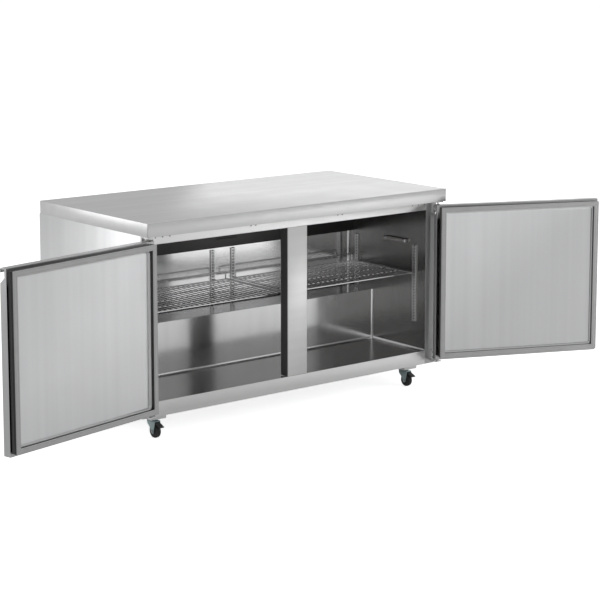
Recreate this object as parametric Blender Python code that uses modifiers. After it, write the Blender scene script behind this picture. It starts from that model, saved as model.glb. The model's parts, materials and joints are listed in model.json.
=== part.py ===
"""Two-door undercounter refrigerator with worktop, doors open, on four casters.

Metres, +Z up, floor at Z = 0, doors facing -Y. The object's bounding box is centred on the
origin. Run with: blender --background --python part.py
"""

import math

import bmesh
import bpy
from mathutils import Euler, Matrix, Vector

# Driving dimensions. X is measured from the cabinet's middle, Y from the worktop's middle.
TOP_Z = 0.864
TOP_WIDTH = 1.524
TOP_DEPTH = 0.775
TOP_THICK = 0.054
TOP_HEM = 0.003
CABINET_HALF = 0.755
FRONT_Y = -0.3295
REAR_Y = 0.4035
WALL = 0.054
INSIDE_HALF = CABINET_HALF - WALL
OPENING_TOP = TOP_Z - 0.0935
OPENING_BOTTOM = TOP_Z - 0.7035
BASE_Z = TOP_Z - 0.7624
SKIN = 0.0015
LINER = 0.001
GAP = 0.0003
MULLION_HALF = 0.0498
MULLION_DEPTH = 0.047

# Inside of the cold space, stepping over the machine compartment at the rear.
FLOOR_Z = OPENING_BOTTOM - 0.0033
PLENUM_Y = 0.337
PLENUM_Z = TOP_Z - 0.239
BACK_Y = 0.179
STEP_Z = TOP_Z - 0.486
STEP_Y = 0.015
REAR_FOAM = 0.045

# Doors. Depth is counted from the cabinet's front towards the door's outer face.
HINGE_X = 0.7346
HINGE_Y = -0.3668
LEFT_OPEN = math.radians(167.6)
RIGHT_OPEN = math.radians(156.8)
DOOR_EDGE_OUT = 0.7426
DOOR_EDGE_IN = 0.0025
DOOR_TOP = TOP_Z - 0.070
DOOR_BOTTOM = TOP_Z - 0.740
DOOR_DEPTH = 0.060
SKIN_BACK = 0.028
DOOR_SHEET = 0.0012
HINGE_RAIL = 0.020
PULL_WEDGE = 0.004
GASKET_DEPTH = 0.0137
GASKET_OUT = 0.7301
GASKET_IN = 0.0084
GASKET_TOP = TOP_Z - 0.0777
GASKET_BOTTOM = TOP_Z - 0.7296
GASKET_WIDTH = 0.022
PANEL_RECESS = 0.008
LIP_DROP = 0.016
LIP_THICK = 0.003
PULL_TOP = 0.0045
PULL_BACK = 0.038
PULL_DROP = 0.033
PULL_SLANT = 0.0545
PIN_RADIUS = 0.004
PIN_DEPTH = 0.015

# Shelves and their pilasters.
SHELF_Z = TOP_Z - 0.372
SHELF_FRONT = -0.265
SHELF_BACK = 0.125
SHELF_OUT = 0.688
SHELF_IN = 0.010
SHELF_BAR = 0.004
SHELF_STOP = 0.035
PILASTER_WIDTH = 0.020
PILASTER_THICK = 0.006
PILASTER_TOP = TOP_Z - 0.252
PILASTER_FRONT_BOTTOM = TOP_Z - 0.584
PILASTER_REAR_BOTTOM = TOP_Z - 0.478

# Casters.
WHEEL_RADIUS = 0.0275
WHEEL_WIDTH = 0.022
CASTER_X = 0.655
CASTER_FRONT_Y = -0.245
CASTER_REAR_Y = 0.325
CASTER_TRAIL = 0.020
CHANNEL_DROP = 0.024
CHANNEL_WIDTH = 0.070
AXLE_RADIUS = 0.0035
FORK_GAP = 0.0012
FORK_PLATE = 0.0025

STEEL = (0.62, 0.63, 0.64)
LIGHT_STEEL = (0.72, 0.73, 0.74)
ZINC = (0.60, 0.66, 0.66)
FOAM = (0.80, 0.74, 0.52)
RUBBER = (0.02, 0.02, 0.02)
GREY_SEAL = (0.55, 0.56, 0.56)
DARK_PLASTIC = (0.05, 0.05, 0.055)
COPPER = (0.72, 0.40, 0.25)


def door_corner(side, angle, across, depth):
    """The plan place of a door's corner when it stands open, across from the middle when closed."""
    arm = Vector((side * (across - HINGE_X), FRONT_Y - depth - HINGE_Y, 0.0))
    turned = Matrix.Rotation(side * angle, 3, "Z") @ arm
    return turned + Vector((side * HINGE_X, HINGE_Y, 0.0))


def plan_shift():
    """The move that centres the whole object, with its doors open, on the origin."""
    points = [
        door_corner(side, angle, across, depth)
        for side, angle in ((-1, LEFT_OPEN), (1, RIGHT_OPEN))
        for across, depths in (
            (DOOR_EDGE_IN, (SKIN_BACK, DOOR_DEPTH)),
            (DOOR_EDGE_OUT, (SKIN_BACK, DOOR_DEPTH)),
            (GASKET_IN, (0.0005,)),
        )
        for depth in depths
    ]
    points.append(Vector((-TOP_WIDTH / 2, -TOP_DEPTH / 2, 0.0)))
    points.append(Vector((TOP_WIDTH / 2, REAR_Y, 0.0)))
    middle_x = (min(p.x for p in points) + max(p.x for p in points)) / 2
    middle_y = (min(p.y for p in points) + max(p.y for p in points)) / 2
    return Vector((-middle_x, -middle_y, 0.0))


def clear_scene():
    """Removes what the file holds, and makes the two collections."""
    for old in list(bpy.data.objects):
        bpy.data.objects.remove(old)
    for name in ("undercounter_refrigerator", "cutters"):
        group = bpy.data.collections.new(name)
        bpy.context.scene.collection.children.link(group)
    bpy.data.collections["cutters"].hide_render = True


def material(name, colour, roughness, metallic):
    """A Principled material for one sub-part."""
    made = bpy.data.materials.new(name)
    made.use_nodes = True
    shader = made.node_tree.nodes["Principled BSDF"]
    shader.inputs["Base Color"].default_value = (*colour, 1.0)
    shader.inputs["Roughness"].default_value = roughness
    shader.inputs["Metallic"].default_value = metallic
    return made


def keep(obj, parent, look=None, cutter=False):
    """Puts an object in its collection, under its parent, with its material."""
    for group in list(obj.users_collection):
        group.objects.unlink(obj)
    home = "cutters" if cutter else "undercounter_refrigerator"
    bpy.data.collections[home].objects.link(obj)
    obj.parent = parent
    if cutter:
        obj.hide_render = True
        obj.display_type = "WIRE"
    elif look is not None:
        obj.data.materials.clear()
        obj.data.materials.append(material(obj.name, *look))
    return obj


def empty(name, location, parent=None, turn=0.0):
    """An empty that pieces hang from, such as a joint's axis."""
    made = bpy.data.objects.new(name, None)
    made.location = location
    made.rotation_euler = Euler((0.0, 0.0, turn))
    return keep(made, parent)


def box(name, low, high, parent, look=None, bevel=0.0, cutter=False):
    """A box between two corners, with its edges rounded if asked."""
    low, high = Vector(low), Vector(high)
    shape = bmesh.new()
    bmesh.ops.create_cube(shape, size=1.0)
    bmesh.ops.scale(shape, vec=high - low, verts=shape.verts)
    mesh = bpy.data.meshes.new(name)
    shape.to_mesh(mesh)
    shape.free()
    made = bpy.data.objects.new(name, mesh)
    made.location = (low + high) / 2
    keep(made, parent, look, cutter)
    if bevel:
        rounding = made.modifiers.new("edges", "BEVEL")
        rounding.width = bevel
        rounding.segments = 2
    return made


def cylinder(name, centre, radius, length, parent, look=None, axis="Z", sides=24, cutter=False):
    """A solid cylinder along one axis."""
    shape = bmesh.new()
    bmesh.ops.create_cone(
        shape, cap_ends=True, segments=sides, radius1=radius, radius2=radius, depth=length
    )
    mesh = bpy.data.meshes.new(name)
    shape.to_mesh(mesh)
    shape.free()
    made = bpy.data.objects.new(name, mesh)
    made.location = centre
    turns = {"X": (0.0, math.pi / 2, 0.0), "Y": (math.pi / 2, 0.0, 0.0), "Z": (0.0, 0.0, 0.0)}
    made.rotation_euler = turns[axis]
    return keep(made, parent, look, cutter)


def outline(name, loops, thick, location, turn, parent, look):
    """A flat outline with its holes, given as loops of points, thickened both ways."""
    curve = bpy.data.curves.new(name, "CURVE")
    curve.dimensions = "2D"
    curve.fill_mode = "BOTH"
    curve.extrude = thick / 2
    for points in loops:
        spline = curve.splines.new("POLY")
        spline.points.add(len(points) - 1)
        for place, (x, y) in zip(spline.points, points):
            place.co = (x, y, 0.0, 1.0)
        spline.use_cyclic_u = True
    made = bpy.data.objects.new(name, curve)
    made.location = location
    made.rotation_euler = turn
    return keep(made, parent, look)


def section(name, points, x_from, x_to, parent, look):
    """A (Y, Z) profile drawn out along X."""
    turn = (math.pi / 2, 0.0, math.pi / 2)
    middle = ((x_from + x_to) / 2, 0.0, 0.0)
    return outline(name, [points], x_to - x_from, middle, turn, parent, look)


def plan(name, points, z_from, z_to, parent, look):
    """An (X, Y) profile drawn out along Z."""
    return outline(name, [points], z_to - z_from, (0.0, 0.0, (z_from + z_to) / 2), (0, 0, 0), parent, look)


def solid(obj):
    """Turns a curve object into a mesh object of the same name and place."""
    graph = bpy.context.evaluated_depsgraph_get()
    mesh = bpy.data.meshes.new_from_object(obj.evaluated_get(graph))
    work = bmesh.new()
    work.from_mesh(mesh)
    bmesh.ops.remove_doubles(work, verts=work.verts, dist=0.00001)
    work.to_mesh(mesh)
    work.free()
    name, parent = obj.name, obj.parent
    place = obj.matrix_basis.copy()
    bpy.data.objects.remove(obj)
    made = bpy.data.objects.new(name, mesh)
    made.matrix_basis = place
    return keep(made, parent)


def combine(obj, other, operation):
    """A Boolean with a cutter object."""
    step = obj.modifiers.new(f"{operation.lower()}_{other.name}", "BOOLEAN")
    step.operation = operation
    step.solver = "EXACT"
    step.object = other
    return obj


def cut(obj, *others):
    for other in others:
        combine(obj, other, "DIFFERENCE")
    return obj


def join(obj, *others):
    for other in others:
        combine(obj, other, "UNION")
    return obj


def turned(name, profile, location, parent, look, axis="Z", steps=32):
    """A turned shape: (radius, height) points from top to bottom, spun round its axis."""
    mesh = bpy.data.meshes.new(name)
    mesh.from_pydata(
        [(radius, 0.0, height) for radius, height in profile],
        [(i, i + 1) for i in range(len(profile) - 1)],
        [],
    )
    made = bpy.data.objects.new(name, mesh)
    made.location = location
    turns = {"X": (0.0, math.pi / 2, 0.0), "Y": (math.pi / 2, 0.0, 0.0), "Z": (0.0, 0.0, 0.0)}
    made.rotation_euler = turns[axis]
    spin = made.modifiers.new("spin", "SCREW")
    spin.steps = steps
    spin.render_steps = steps
    spin.use_merge_vertices = True
    spin.merge_threshold = 0.0001
    return keep(made, parent, look)


def build_shell(root):
    """Worktop, outer sheets and the front frame."""
    steel = (STEEL, 0.3, 1.0)
    worktop = box(
        "worktop",
        (-TOP_WIDTH / 2, -TOP_DEPTH / 2, TOP_Z - TOP_THICK),
        (TOP_WIDTH / 2, TOP_DEPTH / 2, TOP_Z),
        root,
        (LIGHT_STEEL, 0.28, 1.0),
        bevel=0.002,
    )
    hollow = box(
        "worktop_hollow",
        (TOP_HEM - TOP_WIDTH / 2, TOP_HEM - TOP_DEPTH / 2, TOP_Z - 2 * TOP_THICK),
        (TOP_WIDTH / 2 - TOP_HEM, TOP_DEPTH / 2 - TOP_HEM, TOP_Z - SKIN),
        root,
        cutter=True,
    )
    cut(worktop, hollow)
    under = TOP_Z - TOP_THICK - GAP
    for name, side in (("side_panel_left", -1), ("side_panel_right", 1)):
        outer, skin_in = side * CABINET_HALF, side * (CABINET_HALF - SKIN)
        stile_in = side * (INSIDE_HALF + GAP)
        plan(
            name,
            [
                (outer, REAR_Y),
                (outer, FRONT_Y),
                (stile_in, FRONT_Y),
                (stile_in, FRONT_Y + SKIN),
                (skin_in, FRONT_Y + SKIN),
                (skin_in, REAR_Y),
            ],
            BASE_Z,
            under,
            root,
            steel,
        )
    front, behind = FRONT_Y, FRONT_Y + SKIN
    rail = INSIDE_HALF
    box("header_rail", (-rail, front, OPENING_TOP), (rail, behind, under), root, steel)
    box("base_rail", (-rail, front, BASE_Z), (rail, behind, OPENING_BOTTOM), root, steel)
    box(
        "mullion",
        (-MULLION_HALF, front, OPENING_BOTTOM + GAP),
        (MULLION_HALF, front + MULLION_DEPTH, OPENING_TOP - GAP),
        root,
        steel,
        bevel=0.001,
    )
    inner = CABINET_HALF - SKIN - GAP
    seam = TOP_Z - 0.2862
    rear_in = REAR_Y - SKIN
    box("back_panel", (-inner, rear_in, seam), (inner, REAR_Y, under), root, steel)
    grille = box(
        "rear_grille",
        (-inner, rear_in, BASE_Z + SKIN + GAP),
        (inner, REAR_Y, seam - GAP),
        root,
        steel,
    )
    for column, x in enumerate((0.08, 0.31)):
        for row in range(6):
            z = BASE_Z + 0.06 + row * 0.03
            slot = box(
                f"grille_slot_{column}_{row}",
                (x, rear_in - 0.01, z),
                (x + 0.20, REAR_Y + 0.01, z + 0.012),
                root,
                cutter=True,
            )
            cut(grille, slot)
    base = box(
        "base_pan",
        (-inner, behind + GAP, BASE_Z),
        (inner, REAR_Y, BASE_Z + SKIN),
        root,
        (STEEL, 0.45, 1.0),
    )
    for side in (-1, 1):
        channel = box(
            f"channel_{side}",
            (side * CASTER_X - CHANNEL_WIDTH / 2, CASTER_FRONT_Y - 0.045, BASE_Z - CHANNEL_DROP),
            (side * CASTER_X + CHANNEL_WIDTH / 2, CASTER_REAR_Y + 0.045, BASE_Z + SKIN / 2),
            root,
            cutter=True,
        )
        join(base, channel)


def build_insulation(root):
    """Foamed walls between the outer sheets and the liner."""
    foam = (FOAM, 0.9, 0.0)
    front = FRONT_Y + SKIN + GAP
    back = REAR_Y - SKIN - GAP
    under = TOP_Z - TOP_THICK - GAP
    base = BASE_Z + SKIN + GAP
    for name, side in (("foam_left", -1), ("foam_right", 1)):
        near = INSIDE_HALF + LINER + GAP
        far = CABINET_HALF - SKIN - GAP
        low, high = sorted((side * near, side * far))
        box(name, (low, front, base), (high, back, under), root, foam)
    half = INSIDE_HALF - GAP
    liner_top = OPENING_TOP + LINER + GAP
    top_foam = box("foam_top", (-half, front, liner_top), (half, back, under), root, foam)
    inset = TOP_HEM + GAP
    core = box(
        "worktop_core",
        (inset - TOP_WIDTH / 2, inset - TOP_DEPTH / 2, TOP_Z - TOP_THICK),
        (TOP_WIDTH / 2 - inset, TOP_DEPTH / 2 - inset, TOP_Z - SKIN - GAP),
        root,
        cutter=True,
    )
    neck = box(
        "worktop_core_neck",
        (-half, front, under - 0.01),
        (half, TOP_DEPTH / 2 - 2 * inset, TOP_Z - TOP_THICK + 0.01),
        root,
        cutter=True,
    )
    join(top_foam, neck, core)
    step_back = STEP_Y + LINER + GAP
    box(
        "foam_floor",
        (-half, front, base),
        (half, step_back - GAP, FLOOR_Z - LINER - GAP),
        root,
        foam,
    )
    top = OPENING_TOP - GAP
    plenum_y, plenum_z = PLENUM_Y + LINER + GAP, PLENUM_Z - LINER - GAP
    back_y, step_z = BACK_Y + LINER + GAP, STEP_Z - LINER - GAP
    section(
        "foam_rear",
        [
            (plenum_y, top),
            (plenum_y, plenum_z),
            (back_y, plenum_z),
            (back_y, step_z),
            (step_back, step_z),
            (step_back, base),
            (step_back + REAR_FOAM, base),
            (step_back + REAR_FOAM, step_z - REAR_FOAM),
            (back_y + REAR_FOAM, step_z - REAR_FOAM),
            (back_y + REAR_FOAM, plenum_z - REAR_FOAM),
            (back, plenum_z - REAR_FOAM),
            (back, top),
        ],
        -half,
        half,
        root,
        foam,
    )


def build_liner(root):
    """Stainless inside of the cold space, and the shelf pilasters on it."""
    steel = (STEEL, 0.25, 1.0)
    front = FRONT_Y + SKIN + GAP
    half = INSIDE_HALF - GAP
    for name, side in (("liner_left", -1), ("liner_right", 1)):
        low, high = sorted((side * INSIDE_HALF, side * (INSIDE_HALF + LINER)))
        box(name, (low, front, FLOOR_Z - LINER), (high, PLENUM_Y, OPENING_TOP), root, steel)
    box("liner_ceiling", (-half, front, OPENING_TOP), (half, PLENUM_Y, OPENING_TOP + LINER), root, steel)
    box("liner_floor", (-half, front, FLOOR_Z - LINER), (half, STEP_Y - GAP, FLOOR_Z), root, steel)
    wall = [
        (PLENUM_Y, OPENING_TOP - GAP),
        (PLENUM_Y, PLENUM_Z),
        (BACK_Y, PLENUM_Z),
        (BACK_Y, STEP_Z),
        (STEP_Y, STEP_Z),
        (STEP_Y, FLOOR_Z - LINER),
    ]
    outer = [
        (PLENUM_Y + LINER, OPENING_TOP - GAP),
        (PLENUM_Y + LINER, PLENUM_Z - LINER),
        (BACK_Y + LINER, PLENUM_Z - LINER),
        (BACK_Y + LINER, STEP_Z - LINER),
        (STEP_Y + LINER, STEP_Z - LINER),
        (STEP_Y + LINER, FLOOR_Z - LINER),
    ]
    section("liner_rear", wall + outer[::-1], -half, half, root, steel)
    pilaster = (LIGHT_STEEL, 0.3, 1.0)
    width, thick = PILASTER_WIDTH / 2, PILASTER_THICK
    mullion_back = FRONT_Y + MULLION_DEPTH + GAP
    for side, word in ((-1, "left"), (1, "right")):
        wall_x = side * (INSIDE_HALF - GAP)
        low, high = sorted((wall_x, wall_x - side * thick))
        for place, y, bottom in (
            ("front", -0.262, PILASTER_FRONT_BOTTOM),
            ("rear", 0.118, PILASTER_REAR_BOTTOM),
        ):
            box(
                f"pilaster_{word}_{place}",
                (low, y - width, bottom),
                (high, y + width, PILASTER_TOP),
                root,
                pilaster,
            )
        box(
            f"pilaster_{word}_mullion",
            (side * 0.030 - width, mullion_back, PILASTER_FRONT_BOTTOM),
            (side * 0.030 + width, mullion_back + thick, PILASTER_TOP),
            root,
            pilaster,
        )
        box(
            f"pilaster_{word}_back",
            (side * 0.0535 - width, BACK_Y - GAP - thick, PILASTER_REAR_BOTTOM),
            (side * 0.0535 + width, BACK_Y - GAP, PILASTER_TOP),
            root,
            pilaster,
        )
    box(
        "thermometer",
        (INSIDE_HALF - GAP - 0.018, -0.212, TOP_Z - 0.253),
        (INSIDE_HALF - GAP, -0.077, TOP_Z - 0.228),
        root,
        ((0.8, 0.8, 0.8), 0.4, 0.0),
        bevel=0.005,
    )


def fan(name, centre, radius, parent, blades=5):
    """A fan wheel facing along Y: a hub joined to its pitched blades."""
    wheel = cylinder(name, centre, radius * 0.28, 0.018, parent, (DARK_PLASTIC, 0.5, 0.0), axis="Y")
    for index in range(blades):
        angle = index * math.tau / blades
        blade = box(
            f"{name}_blade_{index}",
            (-radius * 0.17, -0.0012, 0.0),
            (radius * 0.17, 0.0012, radius * 0.8),
            parent,
            cutter=True,
        )
        pitch = Matrix.Rotation(math.radians(28), 4, "Z")
        round_hub = Matrix.Rotation(angle, 4, "Y")
        lift = Matrix.Translation((0.0, 0.0, radius * 0.6))
        blade.matrix_basis = Matrix.Translation(centre) @ round_hub @ lift @ pitch
        join(wheel, blade)
    return wheel


def build_refrigeration(root):
    """Evaporator above the rear step, condensing unit under it, and the mains inlet."""
    steel = (STEEL, 0.35, 1.0)
    fins = (LIGHT_STEEL, 0.4, 1.0)
    plastic = (DARK_PLASTIC, 0.5, 0.0)
    cover_y = BACK_Y - 0.029
    half = INSIDE_HALF - 2 * GAP
    section(
        "evaporator_cover",
        [
            (cover_y, OPENING_TOP - GAP),
            (cover_y, PLENUM_Z - LINER),
            (BACK_Y - GAP, PLENUM_Z - LINER),
            (BACK_Y - GAP, PLENUM_Z),
            (cover_y + LINER, PLENUM_Z),
            (cover_y + LINER, OPENING_TOP - GAP),
        ],
        -half,
        half,
        root,
        steel,
    )
    box(
        "evaporator_coil",
        (-0.30, 0.262, PLENUM_Z + 0.012),
        (0.30, 0.330, OPENING_TOP - 0.012),
        root,
        fins,
    )
    fan_z = (PLENUM_Z + OPENING_TOP) / 2
    fan_hub = empty("evaporator_fan_axis", (0.0, 0.215, fan_z), root)
    fan("evaporator_fan", (0.0, 0.0, 0.0), 0.060, fan_hub)

    pan_top = BASE_Z + SKIN + GAP
    compressor = turned(
        "compressor",
        [(0.0, 0.165), (0.035, 0.160), (0.064, 0.140), (0.074, 0.112), (0.074, 0.030), (0.060, 0.008), (0.0, 0.008)],
        (-0.36, 0.225, pan_top),
        root,
        (DARK_PLASTIC, 0.45, 0.3),
    )
    feet = box("compressor_feet", (-0.46, 0.145, pan_top), (-0.26, 0.305, pan_top + 0.010), root, cutter=True)
    join(compressor, feet)
    condenser_x = (0.09, 0.37)
    coil_low, coil_high = pan_top + 0.012, pan_top + 0.207
    box("condenser_coil", (condenser_x[0], 0.330, coil_low), (condenser_x[1], 0.385, coil_high), root, fins)
    shroud = box(
        "condenser_shroud",
        (condenser_x[0] - 0.01, 0.3255, pan_top),
        (condenser_x[1] + 0.01, 0.3285, coil_high),
        root,
        (STEEL, 0.5, 1.0),
    )
    fan_centre = ((condenser_x[0] + condenser_x[1]) / 2, 0.300, (coil_low + coil_high) / 2)
    hole = cylinder("shroud_hole", (fan_centre[0], 0.327, fan_centre[2]), 0.088, 0.05, root, axis="Y", cutter=True)
    cut(shroud, hole)
    condenser_hub = empty("condenser_fan_axis", fan_centre, root)
    fan("condenser_fan", (0.0, 0.0, 0.0), 0.082, condenser_hub)
    box("control_box", (-0.16, 0.270, pan_top), (0.02, 0.375, pan_top + 0.12), root, plastic, bevel=0.003)
    box("condensate_pan", (0.44, 0.12, pan_top), (0.66, 0.36, pan_top + 0.045), root, plastic, bevel=0.004)
    inlet_y = REAR_Y - SKIN - GAP
    box("power_inlet", (-0.62, inlet_y - 0.040, pan_top + 0.05), (-0.57, inlet_y, pan_top + 0.09), root, plastic, bevel=0.003)


def build_hinge_brackets(root):
    """Four brackets on the stiles, each with the pin that a door turns on."""
    look = (LIGHT_STEEL, 0.35, 1.0)
    face = FRONT_Y - GAP
    for side, word in ((-1, "left"), (1, "right")):
        pin_x = side * HINGE_X
        leg_low, leg_high = sorted((side * 0.7335, side * (CABINET_HALF - 0.001)))
        tongue_low, tongue_high = sorted((side * 0.7235, side * (CABINET_HALF - 0.001)))
        top_plate = TOP_Z - TOP_THICK - GAP - 0.005
        low_plate = DOOR_BOTTOM - 0.0095
        for place, plate, leg_z, pin_z in (
            ("top", top_plate, (TOP_Z - 0.112, top_plate + 0.004), (DOOR_TOP - PIN_DEPTH, top_plate + 0.002)),
            ("bottom", low_plate, (low_plate, low_plate + 0.045), (low_plate + 0.002, DOOR_BOTTOM + PIN_DEPTH)),
        ):
            name = f"hinge_bracket_{word}_{place}"
            bracket = box(name, (leg_low, face - 0.005, leg_z[0]), (leg_high, face, leg_z[1]), root, look)
            tongue = box(
                f"{name}_tongue",
                (tongue_low, HINGE_Y - 0.011, plate),
                (tongue_high, face - 0.001, plate + 0.004),
                root,
                cutter=True,
            )
            middle = (pin_z[0] + pin_z[1]) / 2
            pin = cylinder(
                f"{name}_pin",
                (pin_x, HINGE_Y, middle),
                PIN_RADIUS,
                pin_z[1] - pin_z[0],
                root,
                cutter=True,
            )
            join(bracket, tongue, pin)


def build_door(root, side, word, angle):
    """One door: outer shell with its top pull, inner panel and gasket, on its hinge line."""
    hinge = empty(f"{word}_door_hinge", (side * HINGE_X, HINGE_Y, 0.0), root, side * angle)
    face = FRONT_Y - HINGE_Y

    def across(value):
        return side * (value - HINGE_X)

    def y(depth):
        return face - depth

    span = sorted((across(DOOR_EDGE_IN), across(DOOR_EDGE_OUT)))
    shell = solid(
        section(
            f"{word}_door_shell",
            [
                (y(SKIN_BACK), DOOR_TOP),
                (y(DOOR_DEPTH), DOOR_TOP),
                (y(DOOR_DEPTH), DOOR_TOP - LIP_DROP),
                (y(DOOR_DEPTH - LIP_THICK), DOOR_TOP - LIP_DROP),
                (y(DOOR_DEPTH - LIP_THICK), DOOR_TOP - PULL_TOP),
                (y(PULL_BACK), DOOR_TOP - PULL_TOP),
                (y(PULL_BACK), DOOR_TOP - PULL_DROP),
                (y(DOOR_DEPTH), DOOR_TOP - PULL_SLANT),
                (y(DOOR_DEPTH), DOOR_BOTTOM),
                (y(SKIN_BACK), DOOR_BOTTOM),
            ],
            *span,
            hinge,
            None,
        )
    )
    shell.data.materials.append(material(shell.name, STEEL, 0.3, 1.0))
    for place, z in (("top", DOOR_TOP), ("bottom", DOOR_BOTTOM)):
        socket = cylinder(
            f"{word}_{place}_socket",
            (0.0, 0.0, z),
            PIN_RADIUS + 0.0005,
            2 * (PIN_DEPTH + 0.001),
            hinge,
            cutter=True,
        )
        cut(shell, socket)
    hollow = box(
        f"{word}_door_hollow",
        (span[0] + DOOR_SHEET, y(DOOR_DEPTH - DOOR_SHEET), DOOR_BOTTOM + HINGE_RAIL),
        (span[1] - DOOR_SHEET, y(SKIN_BACK) + 0.01, DOOR_TOP - PULL_SLANT - PULL_WEDGE),
        hinge,
        cutter=True,
    )
    cut(shell, hollow)
    inset = 0.002
    low, high = sorted((across(GASKET_IN + inset), across(GASKET_OUT - inset)))
    panel_back = y(SKIN_BACK) + GAP
    panel_face = y(GASKET_DEPTH) - GAP
    panel = box(
        f"{word}_door_panel",
        (low, panel_back, GASKET_BOTTOM + inset),
        (high, panel_face, GASKET_TOP - inset),
        hinge,
        (LIGHT_STEEL, 0.3, 1.0),
    )
    ring = GASKET_WIDTH
    pocket = box(
        f"{word}_panel_pocket",
        (low + ring, panel_face - PANEL_RECESS, GASKET_BOTTOM + inset + ring),
        (high - ring, panel_face + 0.01, GASKET_TOP - inset - ring),
        hinge,
        cutter=True,
    )
    cut(panel, pocket)
    low, high = sorted((across(GASKET_IN), across(GASKET_OUT)))
    outside = [(low, GASKET_BOTTOM), (high, GASKET_BOTTOM), (high, GASKET_TOP), (low, GASKET_TOP)]
    inside = [
        (low + ring, GASKET_BOTTOM + ring),
        (low + ring, GASKET_TOP - ring),
        (high - ring, GASKET_TOP - ring),
        (high - ring, GASKET_BOTTOM + ring),
    ]
    front, back = y(0.0005), y(GASKET_DEPTH)
    outline(
        f"{word}_door_gasket",
        [outside, inside],
        front - back,
        (0.0, (front + back) / 2, 0.0),
        (math.pi / 2, 0.0, 0.0),
        hinge,
        (GREY_SEAL, 0.6, 0.0),
    )


def build_shelf(root, side, word):
    """A wire shelf: a grid of bars with a raised stop along the rear."""
    low, high = sorted((side * SHELF_IN, side * SHELF_OUT))
    bar = SHELF_BAR
    loops = [[(low, SHELF_FRONT), (high, SHELF_FRONT), (high, SHELF_BACK), (low, SHELF_BACK)]]
    columns, rows = 16, 3
    cell_x = (high - low - bar) / columns
    cell_y = (SHELF_BACK - SHELF_FRONT - bar) / rows
    for column in range(columns):
        for row in range(rows):
            x0 = low + bar + column * cell_x
            y0 = SHELF_FRONT + bar + row * cell_y
            x1, y1 = x0 + cell_x - bar, y0 + cell_y - bar
            loops.append([(x0, y0), (x0, y1), (x1, y1), (x1, y0)])
    name = f"{word}_shelf"
    shelf = solid(outline(name, loops, bar, (0.0, 0.0, SHELF_Z), (0.0, 0.0, 0.0), root, None))
    shelf.data.materials.append(material(name, LIGHT_STEEL, 0.3, 1.0))
    stop_y = SHELF_BACK - bar
    frame = box(
        f"{name}_stop",
        (low + 0.012, stop_y, SHELF_Z - bar / 4),
        (high - 0.012, stop_y + bar * 0.9, SHELF_Z + SHELF_STOP),
        root,
        cutter=True,
    )
    window = box(
        f"{name}_stop_window",
        (low + 0.012 + bar, stop_y - 0.01, SHELF_Z + bar / 2),
        (high - 0.012 - bar, stop_y + 0.02, SHELF_Z + SHELF_STOP - bar),
        root,
        cutter=True,
    )
    cut(frame, window)
    join(shelf, frame)


def build_caster(root, word, x, y, brake):
    """A swivel caster: fork with its axle, wheel, and a brake pedal on the front ones."""
    swivel = empty(f"caster_{word}_swivel", (x, y, 0.0), root)
    zinc = (ZINC, 0.4, 1.0)
    crown = BASE_Z - CHANNEL_DROP - GAP
    inner = WHEEL_WIDTH / 2 + FORK_GAP
    axle_y = -CASTER_TRAIL
    fork = cylinder(f"caster_{word}_fork", (0.0, 0.0, crown - 0.006), 0.021, 0.012, swivel, zinc, sides=28)
    bridge = box(
        f"{word}_bridge",
        (-inner - FORK_PLATE, axle_y - 0.012, crown - 0.014),
        (inner + FORK_PLATE, 0.016, crown - 0.010),
        swivel,
        cutter=True,
    )
    join(fork, bridge)
    for hand in (-1, 1):
        x_low, x_high = sorted((hand * inner, hand * (inner + FORK_PLATE)))
        leg = solid(
            section(
                f"{word}_leg_{hand}",
                [
                    (0.014, crown - 0.012),
                    (axle_y - 0.011, crown - 0.012),
                    (axle_y - 0.008, WHEEL_RADIUS - 0.007),
                    (axle_y + 0.008, WHEEL_RADIUS - 0.007),
                ],
                x_low,
                x_high,
                swivel,
                None,
            )
        )
        keep(leg, swivel, cutter=True)
        join(fork, leg)
    axle = cylinder(
        f"{word}_axle",
        (0.0, axle_y, WHEEL_RADIUS),
        AXLE_RADIUS,
        2 * (inner + FORK_PLATE) + 0.004,
        swivel,
        axis="X",
        sides=16,
        cutter=True,
    )
    join(fork, axle)
    half = WHEEL_WIDTH / 2
    bore, rim = AXLE_RADIUS + 0.0004, WHEEL_RADIUS
    turned(
        f"caster_{word}_wheel",
        [
            (bore, half),
            (0.010, half),
            (0.012, half - 0.002),
            (rim - 0.006, half - 0.002),
            (rim - 0.002, half - 0.002),
            (rim, half - 0.006),
            (rim, 0.006 - half),
            (rim - 0.002, 0.002 - half),
            (rim - 0.006, 0.002 - half),
            (0.012, 0.002 - half),
            (0.010, -half),
            (bore, -half),
            (bore, half),
        ],
        (0.0, axle_y, WHEEL_RADIUS),
        swivel,
        (RUBBER, 0.6, 0.0),
        axis="X",
        steps=36,
    )
    if brake:
        pivot_z = crown - 0.0175
        pivot = empty(f"brake_{word}_pivot", (0.0, axle_y - 0.006, pivot_z), swivel)
        section(
            f"brake_pedal_{word}",
            [(0.004, 0.0025), (-0.012, 0.0025), (-0.040, -0.010), (-0.040, -0.013), (-0.012, -0.001), (0.004, -0.001)],
            -WHEEL_WIDTH / 2,
            WHEEL_WIDTH / 2,
            pivot,
            (DARK_PLASTIC, 0.4, 0.2),
        )


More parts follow.
